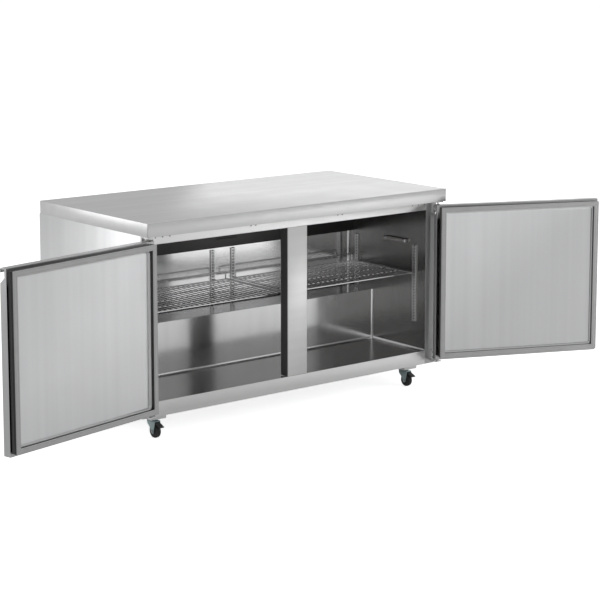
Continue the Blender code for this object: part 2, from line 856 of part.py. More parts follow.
def main():
    clear_scene()
    root = empty("refrigerator_frame", plan_shift())
    build_shell(root)
    build_insulation(root)
    build_liner(root)
    build_refrigeration(root)
    build_hinge_brackets(root)
    for side, word, angle in ((-1, "left", LEFT_OPEN), (1, "right", RIGHT_OPEN)):
        build_door(root, side, word, angle)
        build_shelf(root, side, word)
    for word, x, y, brake in (
        ("front_left", -CASTER_X, CASTER_FRONT_Y, True),
        ("front_right", CASTER_X, CASTER_FRONT_Y, True),
        ("rear_left", -CASTER_X, CASTER_REAR_Y, False),
        ("rear_right", CASTER_X, CASTER_REAR_Y, False),
    ):
        build_caster(root, word, x, y, brake)


main()
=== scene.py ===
"""Looks of a worktop refrigerator with two hinged doors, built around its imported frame."""

import json
import logging
import math
from dataclasses import dataclass, field
from enum import Enum

import bmesh
import bpy
from mathutils import Matrix, Vector


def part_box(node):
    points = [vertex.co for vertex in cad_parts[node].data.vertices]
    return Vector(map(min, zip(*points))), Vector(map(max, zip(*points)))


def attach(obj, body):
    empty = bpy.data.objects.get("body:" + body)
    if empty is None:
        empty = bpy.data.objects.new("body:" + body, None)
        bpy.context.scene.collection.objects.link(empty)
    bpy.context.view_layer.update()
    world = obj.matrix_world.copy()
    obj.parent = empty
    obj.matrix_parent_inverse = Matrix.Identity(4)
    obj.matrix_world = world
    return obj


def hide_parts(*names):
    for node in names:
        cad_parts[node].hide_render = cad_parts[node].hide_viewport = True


SMOOTH_ANGLE = math.radians(32)

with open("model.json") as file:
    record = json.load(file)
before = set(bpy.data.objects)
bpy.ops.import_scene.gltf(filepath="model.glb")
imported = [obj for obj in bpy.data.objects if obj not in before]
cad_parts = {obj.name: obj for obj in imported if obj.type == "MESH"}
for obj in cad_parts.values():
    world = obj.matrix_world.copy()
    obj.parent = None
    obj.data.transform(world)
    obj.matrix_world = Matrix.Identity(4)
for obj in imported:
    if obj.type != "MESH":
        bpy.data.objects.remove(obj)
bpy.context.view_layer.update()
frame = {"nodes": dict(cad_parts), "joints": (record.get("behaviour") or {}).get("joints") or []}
LOG = logging.getLogger("refrigerator")


# ---------------------------------------------------------------- finishes


class Grain(Enum):
    """Which way the grinding lines of a sheet run, as the stretch of the pattern along X, Y and Z."""

    ALONG_X = (0.012, 1.0, 1.0)
    ALONG_Y = (1.0, 0.012, 1.0)
    ALONG_Z = (1.0, 1.0, 0.012)


def new_group(name: str, inputs: dict[str, float], outputs: list[str]) -> tuple:
    """Starts a shader node group that reads a position.

    Args:
        name: The group's name.
        inputs: Its number inputs and their first values.
        outputs: Its number outputs.

    Returns:
        The group, its input node and its output node.
    """
    tree = bpy.data.node_groups.new(name, "ShaderNodeTree")
    tree.interface.new_socket("Vector", in_out="INPUT", socket_type="NodeSocketVector")
    for key, value in inputs.items():
        socket = tree.interface.new_socket(key, in_out="INPUT", socket_type="NodeSocketFloat")
        socket.default_value = value
    for key in outputs:
        tree.interface.new_socket(key, in_out="OUTPUT", socket_type="NodeSocketFloat")
    return tree, tree.nodes.new("NodeGroupInput"), tree.nodes.new("NodeGroupOutput")


def noise(
    tree: bpy.types.NodeTree,
    vector: bpy.types.NodeSocket,
    scale: float | bpy.types.NodeSocket,
    detail: float = 3.0,
) -> bpy.types.NodeSocket:
    """Adds a noise texture to a tree.

    Args:
        tree: The node tree.
        vector: The socket that gives the position.
        scale: A number, or the socket that gives it.
        detail: How many finer layers are added.

    Returns:
        The socket with the noise, from 0 to 1.
    """
    node = tree.nodes.new("ShaderNodeTexNoise")
    node.inputs["Detail"].default_value = detail
    tree.links.new(vector, node.inputs["Vector"])
    if isinstance(scale, (int, float)):
        node.inputs["Scale"].default_value = scale
    else:
        tree.links.new(scale, node.inputs["Scale"])
    return node.outputs["Fac"]


def grinding_group() -> bpy.types.NodeTree:
    """The fine lines and faint clouds that a grinding belt leaves on sheet. Returns the group, built once."""
    found = bpy.data.node_groups.get("grinding_lines")
    if found:
        return found
    tree, inside, outside = new_group("grinding_lines", {"Fineness": 900.0}, ["Lines", "Clouds"])
    tree.links.new(
        noise(tree, inside.outputs["Vector"], inside.outputs["Fineness"], 4.0), outside.inputs["Lines"]
    )
    tree.links.new(noise(tree, inside.outputs["Vector"], 24.0, 2.0), outside.inputs["Clouds"])
    return tree


def handling_group() -> bpy.types.NodeTree:
    """Wiped smears and the slight wave of a thin sheet. Returns the group, built once."""
    found = bpy.data.node_groups.get("handling_marks")
    if found:
        return found
    tree, inside, outside = new_group(
        "handling_marks", {"Smear Size": 7.0, "Wave Size": 2.2}, ["Smears", "Wave"]
    )
    vector = inside.outputs["Vector"]
    tree.links.new(noise(tree, vector, inside.outputs["Smear Size"], 5.0), outside.inputs["Smears"])
    tree.links.new(noise(tree, vector, inside.outputs["Wave Size"], 0.0), outside.inputs["Wave"])
    return tree


@dataclass(frozen=True)
class Finish:
    """One surface: its colour, shine and the pattern that its maker left."""

    name: str
    colour: tuple[float, float, float]
    roughness: float
    metallic: float = 1.0
    grain: Grain | None = None
    lines: float = 0.12
    wave: float = 0.0
    fineness: float = 900.0
    spread: float = 0.08
    slot: str | None = None

    def material(self) -> bpy.types.Material:
        """Returns the finish as a material, built once, named after the finish with _finish added."""
        title = f"{self.name}_finish"
        found = bpy.data.materials.get(title)
        if found:
            return found
        made = bpy.data.materials.new(title)
        made.use_nodes = True
        made.diffuse_color = (*self.colour, 1.0)
        self._wire(made.node_tree)
        return made

    def _wire(self, tree: bpy.types.NodeTree) -> None:
        """Joins the patterns to the shader's colour, roughness and normal.

        Args:
            tree: The material's node tree.
        """
        shader = tree.nodes["Principled BSDF"]
        shader.inputs["Metallic"].default_value = self.metallic
        place = tree.nodes.new("ShaderNodeTexCoord")
        stretch = tree.nodes.new("ShaderNodeMapping")
        stretch.inputs["Scale"].default_value = self.grain.value if self.grain else (1.0, 1.0, 1.0)
        tree.links.new(place.outputs["Object"], stretch.inputs["Vector"])
        lines = tree.nodes.new("ShaderNodeGroup")
        lines.node_tree = grinding_group()
        lines.inputs["Fineness"].default_value = self.fineness
        tree.links.new(stretch.outputs["Vector"], lines.inputs["Vector"])
        marks = tree.nodes.new("ShaderNodeGroup")
        marks.node_tree = handling_group()
        tree.links.new(place.outputs["Object"], marks.inputs["Vector"])
        tone = tree.nodes.new("ShaderNodeMapRange")
        tone.inputs["To Min"].default_value = 1.0 - self.spread
        tone.inputs["To Max"].default_value = 1.0 + self.spread
        tree.links.new(lines.outputs["Clouds"], tone.inputs["Value"])
        colour = tree.nodes.new("ShaderNodeVectorMath")
        colour.operation = "SCALE"
        colour.inputs[0].default_value = self.colour
        tree.links.new(tone.outputs["Result"], colour.inputs["Scale"])
        tree.links.new(colour.outputs["Vector"], shader.inputs["Base Color"])
        shine = tree.nodes.new("ShaderNodeMapRange")
        shine.inputs["To Min"].default_value = max(0.02, self.roughness - 0.06)
        shine.inputs["To Max"].default_value = min(1.0, self.roughness + 0.06)
        tree.links.new(marks.outputs["Smears"], shine.inputs["Value"])
        tree.links.new(shine.outputs["Result"], shader.inputs["Roughness"])
        wave = tree.nodes.new("ShaderNodeBump")
        wave.inputs["Strength"].default_value = self.wave
        wave.inputs["Distance"].default_value = 0.01
        tree.links.new(marks.outputs["Wave"], wave.inputs["Height"])
        fine = tree.nodes.new("ShaderNodeBump")
        fine.inputs["Strength"].default_value = self.lines
        fine.inputs["Distance"].default_value = 0.0002
        tree.links.new(lines.outputs["Lines"], fine.inputs["Height"])
        tree.links.new(wave.outputs["Normal"], fine.inputs["Normal"])
        tree.links.new(fine.outputs["Normal"], shader.inputs["Normal"])


TOP_STEEL = Finish(
    "worktop_steel", (0.68, 0.68, 0.685), 0.30, grain=Grain.ALONG_X, wave=0.05, slot="worktop_steel"
)
SHELL_STEEL = Finish(
    "shell_steel", (0.74, 0.745, 0.75), 0.32, grain=Grain.ALONG_Z, wave=0.05, slot="brushed_steel"
)
RAIL_STEEL = Finish("rail_steel", (0.80, 0.80, 0.80), 0.30, grain=Grain.ALONG_X, slot="brushed_steel")
# Darker copy of the brushed steel: painted shade and dark reflection on the stiles' forward faces, the
# mullion's sides and the door shells.
STILE_STEEL_PAINTED_SHADE = Finish("stile_steel_painted_shade", (0.52, 0.522, 0.525), 0.30, grain=Grain.ALONG_Z, slot="brushed_steel")
DOOR_STEEL = Finish(
    "door_steel", (0.70, 0.705, 0.71), 0.30, grain=Grain.ALONG_Z, wave=0.06, slot="liner_steel"
)
# The liner's steel darkened well below the rear sheet's tone: painted shade inside the cold space.
LINER_STEEL_PAINTED_SHADE = Finish(
    "liner_steel", (0.30, 0.295, 0.29), 0.22, grain=Grain.ALONG_Z, lines=0.05, wave=0.03, slot="liner_steel"
)
# The same liner steel brightened for the rear sheet: painted light falling in from the front.
BACK_STEEL_PAINTED_LIGHT = Finish(
    "back_steel_painted_light", (0.74, 0.74, 0.745), 0.16, grain=Grain.ALONG_Z, lines=0.03, wave=0.04, slot="liner_steel"
)
# The liner steel made near white: painted highlight along the coved corners and the step's nose.
COVE_STEEL_PAINTED_HIGHLIGHT = Finish("cove_steel_painted_highlight", (0.95, 0.95, 0.96), 0.22, grain=Grain.ALONG_X, slot="liner_steel")
# Steel darkened to near black: painted shade on the evaporator cover under the ceiling.
COVER_STEEL_PAINTED_SHADE = Finish("cover_steel_painted_shade", (0.07, 0.068, 0.068), 0.38, grain=Grain.ALONG_X, slot="liner_steel")
BRIGHT_WIRE = Finish("bright_wire", (0.93, 0.93, 0.935), 0.16, lines=0.05, slot="shelf_wire")
SCREW_STEEL = Finish("screw_steel", (0.45, 0.45, 0.46), 0.30, lines=0.05, slot="brushed_steel")
# Near black: painted shade in screw sockets, air slots and pilaster slots; also the printed marks of the
# thermometer's scale.
SHADE_AND_PRINT_BLACK = Finish("recess", (0.02, 0.02, 0.022), 0.8, metallic=0.0, lines=0.05)
SEAL_FACE = Finish(
    "seal_face", (0.42, 0.42, 0.42), 0.5, metallic=0.0, lines=0.2, fineness=400.0, slot="gasket"
)
# The grey seal darkened to near black on its bellows: painted shade.
SEAL_SIDE_PAINTED_SHADE = Finish(
    "seal_bellows_painted_shade", (0.06, 0.06, 0.06), 0.6, metallic=0.0, lines=0.2, fineness=400.0, slot="gasket"
)
BREAKER = Finish("breaker_strip", (0.075, 0.073, 0.075), 0.42, metallic=0.0, lines=0.2, grain=Grain.ALONG_Z)
ZINC = Finish("zinc_plate", (0.46, 0.56, 0.57), 0.34, fineness=160.0, spread=0.2, slot="zinc")
TREAD = Finish("wheel_tread", (0.018, 0.018, 0.019), 0.55, metallic=0.0, fineness=300.0, slot="wheel_rubber")
PEDAL = Finish("pedal_plastic", (0.04, 0.04, 0.042), 0.4, metallic=0.0, fineness=300.0, slot="black_plastic")
PLASTIC = Finish(
    "moulded_plastic", (0.05, 0.05, 0.052), 0.5, metallic=0.0, fineness=300.0, slot="black_plastic"
)
TUBE_CASE = Finish("thermometer_case", (0.62, 0.60, 0.59), 0.18, metallic=0.0, slot="thermometer_case")
FOAM = Finish("wall_foam", (0.76, 0.68, 0.42), 0.9, metallic=0.0, lines=0.8, fineness=240.0, slot="foam")
FIN_STOCK = Finish("fin_stock", (0.72, 0.73, 0.74), 0.35, grain=Grain.ALONG_Z, slot="fins")
COPPER = Finish("copper_tube", (0.72, 0.36, 0.22), 0.3, fineness=200.0, spread=0.15, slot="fins")
ENAMEL = Finish(
    "compressor_enamel", (0.03, 0.03, 0.032), 0.35, metallic=0.0, fineness=200.0, slot="compressor_black"
)


# ---------------------------------------------------------------- mesh making


def bend(points: list[Vector], radius: float, steps: int = 6) -> list[Vector]:
    """Rounds the inner corners of a path.

    Args:
        points: The path's corners.
        radius: How far from a corner each bend starts.
        steps: How many pieces make a bend.

    Returns:
        The path's points.
    """
    out = [points[0]]
    for before, corner, after in zip(points, points[1:], points[2:]):
        a = corner + (before - corner).normalized() * radius
        b = corner + (after - corner).normalized() * radius
        for k in range(steps + 1):
            t = k / steps
            out.append(a * (1 - t) ** 2 + corner * 2 * t * (1 - t) + b * t * t)
    return out + [points[-1]]


def rectangle(low: tuple, high: tuple, inset: float, radius: float = 0.0, steps: int = 4) -> list[tuple]:
    """A rectangle's corners, or the points of its rounded corners, moved in from its edges.

    Args:
        low: Its lowest corner.
        high: Its highest corner.
        inset: How far it moves in.
        radius: The corners' radius before it moves in.
        steps: How many pieces make a corner.

    Returns:
        Pairs of numbers, going round.
    """
    x0, y0, x1, y1 = low[0] + inset, low[1] + inset, high[0] - inset, high[1] - inset
    if radius <= 0.0:
        return [(x0, y0), (x1, y0), (x1, y1), (x0, y1)]
    r = max(radius - inset, 0.0002)
    out = []
    for cx, cy, start in (
        (x1 - r, y0 + r, -90), (x1 - r, y1 - r, 0), (x0 + r, y1 - r, 90), (x0 + r, y0 + r, 180)
    ):
        for k in range(steps + 1):
            a = math.radians(start + 90 * k / steps)
            out.append((cx + r * math.cos(a), cy + r * math.sin(a)))
    return out


@dataclass
class Piece:
    """A mesh in the making, in the object's own frame, with one or more finishes."""

    name: str
    finishes: list[Finish] = field(default_factory=list)
    mesh: bmesh.types.BMesh = field(default_factory=bmesh.new)

    def dress(self, faces: list, finish: Finish) -> None:
        """Gives faces a finish.

        Args:
            faces: The faces.
            finish: Their finish.
        """
        if finish not in self.finishes:
            self.finishes.append(finish)
        for face in faces:
            face.material_index = self.finishes.index(finish)

    def rings(self, rings: list[list[Vector]], finish: Finish, loop: bool = False, caps: bool = True) -> None:
        """Skins a row of rings with as many points each.

        Args:
            rings: The rings, in order.
            finish: The skin's finish.
            loop: Whether the last ring joins the first.
            caps: Whether the two ends are closed.
        """
        rows = [[self.mesh.verts.new(p) for p in ring] for ring in rings]
        faces, count = [], len(rings[0])
        pairs = list(zip(rows, rows[1:])) + ([(rows[-1], rows[0])] if loop else [])
        for a, b in pairs:
            for k in range(count):
                faces.append(self.mesh.faces.new((a[k], a[(k + 1) % count], b[(k + 1) % count], b[k])))
        if caps and not loop:
            faces += [self.mesh.faces.new(rows[0][::-1]), self.mesh.faces.new(rows[-1])]
        bmesh.ops.recalc_face_normals(self.mesh, faces=faces)
        self.dress(faces, finish)

    def block(self, low: tuple, high: tuple, finish: Finish, edge: float = 0.0006) -> None:
        """A box with its edges taken off.

        Args:
            low: Its lowest corner.
            high: Its highest corner.
            finish: Its finish.
            edge: How much is taken off.
        """
        size = [abs(h - l) for l, h in zip(low, high)]
        e = min(edge, min(size) * 0.3)
        base, top = (low[0], low[1]), (high[0], high[1])
        levels = [(e, low[2]), (0.0, low[2] + e), (0.0, high[2] - e), (e, high[2])]
        self.rings(
            [[Vector((x, y, z)) for x, y in rectangle(base, top, i, e * 1.5, 2)] for i, z in levels], finish
        )

    def prism(
        self, outline: list[tuple], start: Vector, along: Vector, across: Vector, up: Vector, finish: Finish
    ) -> None:
        """A flat outline drawn out into a bar.

        Args:
            outline: Pairs of numbers, across and up.
            start: Where the outline's zero lies.
            along: How far and which way it is drawn out.
            across: The way of the first numbers.
            up: The way of the second numbers.
            finish: Its finish.
        """
        near = [start + across * a + up * b for a, b in outline]
        self.rings([near, [p + along for p in near]], finish)

    def turned(
        self, profile: list[tuple], centre: Vector, axis: Vector, finish: Finish, steps: int = 24
    ) -> None:
        """A profile turned about an axis, closed at both ends.

        Args:
            profile: Pairs of radius and height along the axis.
            centre: Where height zero lies.
            axis: The axis, of length 1.
            finish: Its finish.
            steps: How many sides it has.
        """
        side = axis.orthogonal().normalized()
        other = axis.cross(side)
        rings = []
        for radius, height in profile:
            angles = [math.tau * k / steps for k in range(steps)]
            rings.append(
                [
                    centre + axis * height + (side * math.cos(a) + other * math.sin(a)) * radius
                    for a in angles
                ]
            )
        self.rings(rings, finish)

    def tube(
        self, path: list[Vector], radius: float, finish: Finish, sides: int = 10, closed: bool = False
    ) -> None:
        """A round wire along a path.

        Args:
            path: The points of its middle.
            radius: Its radius.
            finish: Its finish.
            sides: How many sides it has.
            closed: Whether it joins its own start.
        """
        count, rings, normal = len(path), [], None
        for k, point in enumerate(path):
            before = path[k - 1] if k or closed else point
            after = path[(k + 1) % count] if k < count - 1 or closed else point
            way = (after - before).normalized()
            normal = way.orthogonal() if normal is None else normal - way * normal.dot(way)
            normal.normalize()
            other = way.cross(normal)
            angles = [math.tau * s / sides for s in range(sides)]
            rings.append([point + (normal * math.cos(a) + other * math.sin(a)) * radius for a in angles])
        self.rings(rings, finish, loop=closed)

    def copy_of(self, node: str, finish: Finish) -> None:
        """Takes a CAD node's own shape, joined up and freed of its inner edges.

        Args:
            node: The node.
            finish: Its finish.
        """
        self.mesh.from_mesh(frame["nodes"][node].data)
        bmesh.ops.remove_doubles(self.mesh, verts=self.mesh.verts, dist=1e-5)
        flat = math.radians(1.0)
        bmesh.ops.dissolve_limit(self.mesh, angle_limit=flat, verts=self.mesh.verts, edges=self.mesh.edges)
        self.dress(list(self.mesh.faces), finish)

    def done(self, body: str, *nodes: str, edge: float = 0.0, turn: Matrix | None = None) -> bpy.types.Object:
        """Makes the object and puts it on its body.

        Args:
            body: The body that it rides on.
            nodes: The CAD nodes that it stands for.
            edge: The width of rounding on its sharp edges, if any.
            turn: A last move of the whole mesh, if any.

        Returns:
            The object.
        """
        data = bpy.data.meshes.new(self.name)
        if turn is not None:
            self.mesh.transform(turn)
        self.mesh.to_mesh(data)
        self.mesh.free()
        for finish in self.finishes:
            data.materials.append(finish.material())
        piece = bpy.data.objects.new(self.name, data)
        bpy.context.scene.collection.objects.link(piece)
        data.shade_smooth()
        data.set_sharp_from_angle(angle=SMOOTH_ANGLE)
        if edge:
            data.set_sharp_from_angle(angle=math.radians(180))
            rounding = piece.modifiers.new("rounded_edges", "BEVEL")
            rounding.width = edge
            rounding.segments = 3
            rounding.limit_method = "ANGLE"
            rounding.angle_limit = math.radians(32)
            rounding.harden_normals = True
        if nodes:
            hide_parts(*nodes)
        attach(piece, body)
        return piece


# ---------------------------------------------------------------- repeated shapes


@dataclass
class Grower:
    """A Geometry Nodes tree in the making, with named inputs."""

    name: str
    inputs: dict[str, str]

    def __post_init__(self) -> None:
        """Starts the tree with its sockets."""
        self.tree = bpy.data.node_groups.new(self.name, "GeometryNodeTree")
        self.tree.interface.new_socket("Geometry", in_out="INPUT", socket_type="NodeSocketGeometry")
        for key, kind in self.inputs.items():
            self.tree.interface.new_socket(key, in_out="INPUT", socket_type=f"NodeSocket{kind}")
        self.tree.interface.new_socket("Geometry", in_out="OUTPUT", socket_type="NodeSocketGeometry")
        self.start = self.tree.nodes.new("NodeGroupInput")
        self.end = self.tree.nodes.new("NodeGroupOutput")

    def node(self, kind: str, links: dict | None = None, **settings) -> bpy.types.Node:
        """Adds a node.

        Args:
            kind: Its type, without the leading word.
            links: Input name to the socket or the value that feeds it.
            settings: The node's own settings.

        Returns:
            The node.
        """
        made = self.tree.nodes.new(kind)
        for key, value in settings.items():
            setattr(made, key, value)
        for key, value in (links or {}).items():
            if isinstance(value, bpy.types.NodeSocket):
                self.tree.links.new(value, made.inputs[key])
            else:
                made.inputs[key].default_value = value
        return made

    def finish(self, instances: bpy.types.NodeSocket) -> bpy.types.NodeTree:
        """Makes the instances real, gives them their finish and ends the tree.

        Args:
            instances: The socket that gives them.

        Returns:
            The tree.
        """
        real = self.node("GeometryNodeRealizeInstances", {"Geometry": instances})
        links = {"Geometry": real.outputs["Geometry"], "Material": self.start.outputs["Material"]}
        dressed = self.node("GeometryNodeSetMaterial", links)
        self.tree.links.new(dressed.outputs["Geometry"], self.end.inputs["Geometry"])
        return self.tree


def line_of_points(grower: Grower) -> bpy.types.Node:
    """Adds a straight row of points with the inputs Count, Start and Step. Returns the node."""
    inside = grower.start.outputs
    links = {"Count": inside["Count"], "Start Location": inside["Start"], "Offset": inside["Step"]}
    return grower.node("GeometryNodeMeshLine", links, mode="OFFSET")


def rod_row_tree() -> bpy.types.NodeTree:
    """A row of round rods. Returns the tree, built once."""
    found = bpy.data.node_groups.get("rod_row")
    if found:
        return found
    kinds = {"Count": "Int", "Start": "Vector", "Step": "Vector", "Span": "Vector", "Radius": "Float"}
    grower = Grower("rod_row", {**kinds, "Sides": "Int", "Material": "Material"})
    inside = grower.start.outputs
    line = grower.node("GeometryNodeCurvePrimitiveLine", {"End": inside["Span"]})
    ring = {"Resolution": inside["Sides"], "Radius": inside["Radius"]}
    circle = grower.node("GeometryNodeCurvePrimitiveCircle", ring)
    links = {"Curve": line.outputs["Curve"], "Profile Curve": circle.outputs["Curve"], "Fill Caps": True}
    rod = grower.node("GeometryNodeCurveToMesh", links)
    links = {"Points": line_of_points(grower).outputs["Mesh"], "Instance": rod.outputs["Mesh"]}
    return grower.finish(grower.node("GeometryNodeInstanceOnPoints", links).outputs["Instances"])


def plate_row_tree() -> bpy.types.NodeTree:
    """A row of flat plates, each turned by the same angles. Returns the tree, built once."""
    found = bpy.data.node_groups.get("plate_row")
    if found:
        return found
    kinds = {"Count": "Int", "Start": "Vector", "Step": "Vector", "Size": "Vector", "Turn": "Vector"}
    grower = Grower("plate_row", {**kinds, "Material": "Material"})
    inside = grower.start.outputs
    plate = grower.node("GeometryNodeMeshCube", {"Size": inside["Size"]})
    turn = grower.node("FunctionNodeEulerToRotation", {"Euler": inside["Turn"]})
    links = {"Points": line_of_points(grower).outputs["Mesh"], "Instance": plate.outputs["Mesh"]}
    placed = grower.node("GeometryNodeInstanceOnPoints", {**links, "Rotation": turn.outputs["Rotation"]})
    return grower.finish(placed.outputs["Instances"])


def screw_field_tree() -> bpy.types.NodeTree:
    """A domed screw head on each point of a mesh, with a near-black driver recess, painted shade in the
    socket. Returns the tree, built once.
    """
    found = bpy.data.node_groups.get("screw_field")
    if found:
        return found
    kinds = {"Radius": "Float", "Height": "Float", "Turn": "Vector", "Recess Shade": "Material"}
    grower = Grower("screw_field", {**kinds, "Material": "Material"})
    inside = grower.start.outputs
    narrow = grower.node("ShaderNodeMath", {0: inside["Radius"], 1: 0.62}, operation="MULTIPLY")
    links = {"Radius Top": narrow.outputs[0], "Radius Bottom": inside["Radius"], "Depth": inside["Height"]}
    head = grower.node("GeometryNodeMeshCone", {**links, "Vertices": 14})
    shade = grower.node(
        "GeometryNodeSetMaterial", {"Geometry": head.outputs["Mesh"], "Material": inside["Material"]}
    )
    small = grower.node("ShaderNodeMath", {0: inside["Radius"], 1: 0.34}, operation="MULTIPLY")
    links = {"Radius": small.outputs[0], "Depth": inside["Height"], "Vertices": 6}
    socket = grower.node("GeometryNodeMeshCylinder", links)
    lift = grower.node("ShaderNodeCombineXYZ")
    raised = grower.node("ShaderNodeMath", {0: inside["Height"], 1: 0.52}, operation="MULTIPLY")
    grower.tree.links.new(raised.outputs[0], lift.inputs["Z"])
    links = {"Geometry": socket.outputs["Mesh"], "Translation": lift.outputs["Vector"]}
    moved = grower.node("GeometryNodeTransform", links)
    # The socket's near-black material is painted shade.
    dark = grower.node(
        "GeometryNodeSetMaterial", {"Geometry": moved.outputs["Geometry"], "Material": inside["Recess Shade"]}
    )
    both = grower.node("GeometryNodeJoinGeometry")
    grower.tree.links.new(dark.outputs["Geometry"], both.inputs["Geometry"])
    grower.tree.links.new(shade.outputs["Geometry"], both.inputs["Geometry"])
    turn = grower.node("FunctionNodeEulerToRotation", {"Euler": inside["Turn"]})
    links = {
        "Points": inside["Geometry"], "Instance": both.outputs["Geometry"],
        "Rotation": turn.outputs["Rotation"]
    }
    placed = grower.node("GeometryNodeInstanceOnPoints", links)
    real = grower.node("GeometryNodeRealizeInstances", {"Geometry": placed.outputs["Instances"]})
    grower.tree.links.new(real.outputs["Geometry"], grower.end.inputs["Geometry"])
    return grower.tree


def grow(
    name: str,
    tree: bpy.types.NodeTree,
    values: dict,
    finish: Finish,
    body: str,
    points: tuple | list = (),
    turn: Matrix | None = None,
) -> bpy.types.Object:
    """Runs a tree and keeps its result as a plain mesh.

    Args:
        name: The piece's name.
        tree: The Geometry Nodes tree.
        values: Input name to value.
        finish: The finish of what is made.
        body: The body that it rides on.
        points: The points that the tree works on, if it reads any.
        turn: A last move of the whole mesh, if any.

    Returns:
        The object.
    """
    seed = bpy.data.meshes.new(name + "_points")
    seed.from_pydata([tuple(p) for p in points] or [(0.0, 0.0, 0.0)], [], [])
    holder = bpy.data.objects.new(name + "_seed", seed)
    bpy.context.scene.collection.objects.link(holder)
    modifier = holder.modifiers.new("grow", "NODES")
    modifier.node_group = tree
    given = {**values, "Material": finish.material()}
    for item in tree.interface.items_tree:
        if item.in_out == "INPUT" and item.name in given:
            modifier[item.identifier] = given[item.name]
    graph = bpy.context.evaluated_depsgraph_get()
    graph.update()
    data = bpy.data.meshes.new_from_object(holder.evaluated_get(graph))
    holder.modifiers.remove(modifier)
    bpy.data.objects.remove(holder)
    data.name = name
    if turn is not None:
        data.transform(turn)
    data.shade_smooth()
    data.set_sharp_from_angle(angle=SMOOTH_ANGLE)
    piece = bpy.data.objects.new(name, data)
    bpy.context.scene.collection.objects.link(piece)
    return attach(piece, body)


def rods(
    name: str,
    finish: Finish,
    body: str,
    count: int,
    start: tuple | Vector,
    step: tuple | Vector,
    span: tuple | Vector,
    radius: float,
    sides: int = 8,
    turn: Matrix | None = None,
) -> bpy.types.Object:
    """A row of rods, all alike.

    Args:
        name: The piece's name.
        finish: Its finish.
        body: The body that it rides on.
        count: How many rods there are.
        start: Where the first one starts.
        step: From one rod to the next.
        span: From one end of a rod to the other.
        radius: A rod's radius.
        sides: How many sides a rod has.
        turn: A last move of the whole row, if any.

    Returns:
        The object.
    """
    values = {"Count": count, "Start": start, "Step": step, "Span": span, "Radius": radius, "Sides": sides}
    return grow(name, rod_row_tree(), values, finish, body, turn=turn)


def plates(
    name: str,
    finish: Finish,
    body: str,
    count: int,
    start: tuple | Vector,
    step: tuple | Vector,
    size: tuple | Vector,
    tilt: tuple = (0.0, 0.0, 0.0),
) -> bpy.types.Object:
    """A row of plates, all alike.

    Args:
        name: The piece's name.
        finish: Its finish.
        body: The body that it rides on.
        count: How many plates there are.
        start: Where the first one lies.
        step: From one plate to the next.
        size: A plate's size along X, Y and Z.
        tilt: A plate's turn about X, Y and Z.

    Returns:
        The object.
    """
    values = {"Count": count, "Start": start, "Step": step, "Size": size, "Turn": tilt}
    return grow(name, plate_row_tree(), values, finish, body)


def screws(
    name: str,
    finish: Finish,
    body: str,
    points: tuple | list,
    radius: float,
    height: float,
    facing: tuple,
    turn: Matrix | None = None,
) -> bpy.types.Object:
    """Screw heads, one at each point.

    Args:
        name: The piece's name.
        finish: Its finish.
        body: The body that it rides on.
        points: Where the screws are.
        radius: A head's radius.
        height: How far a head stands out.
        facing: A head's turn about X, Y and Z.
        turn: A last move of all of them, if any.

    Returns:
        The object.
    """
    values = {"Radius": radius, "Height": height, "Turn": facing, "Recess Shade": SHADE_AND_PRINT_BLACK.material()}
    return grow(name, screw_field_tree(), values, finish, body, points=points, turn=turn)


FACING_FRONT = (math.pi / 2, 0.0, 0.0)
FACING_BACK = (-math.pi / 2, 0.0, 0.0)
X, Y, Z = Vector((1, 0, 0)), Vector((0, 1, 0)), Vector((0, 0, 1))
CENTRE = (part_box("worktop")[0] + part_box("worktop")[1]) / 2
MIDDLE = Vector((CENTRE.x, CENTRE.y, 0.0))
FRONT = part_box("header_rail")[0].y


def at(x: float, y: float, z: float) -> Vector:
    """A point given from the middle of the worktop and the floor. Returns it in the object's frame."""
    return MIDDLE + Vector((x, y, z))


def local_box(node: str) -> tuple[Vector, Vector]:
    """A CAD node's lowest and highest corners, from the middle of the worktop and the floor."""
    low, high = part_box(node)
    return low - MIDDLE, high - MIDDLE


def joint(name: str) -> dict:
    """Returns a joint of the record by its name."""
    return next(j for j in frame["joints"] if j["name"] == name)


# ---------------------------------------------------------------- cabinet


@dataclass
class Worktop:
    """The folded worktop: a flat pan with a turned-in hem."""

    fold: float = 0.0022
    sheet: float = 0.0012
    hem: float = 0.013

    def build(self) -> bpy.types.Object:
        """Makes the worktop. Returns its object."""
        low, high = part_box("worktop")
        top, under, fold, sheet = high.z, low.z, self.fold, self.sheet
        steps = [
            (fold * (1 - math.sin(a)), top - fold * (1 - math.cos(a)))
            for a in (0.0, 0.4, 0.8, 1.2, math.pi / 2)
        ]
        outside = steps + [(0.0, under + 0.0016), (0.0005, under + 0.0004), (0.0016, under)]
        inside = [(self.hem, under), (self.hem, under + sheet), (sheet, under + sheet), (sheet, top - sheet)]
        piece = Piece("worktop_pan")
        rows = []
        for inset, z in outside + inside:
            rows.append([Vector((x, y, z)) for x, y in rectangle(low[:2], high[:2], inset, 0.003, 3)])
        piece.rings(rows, TOP_STEEL)
        return piece.done("cabinet", "worktop")


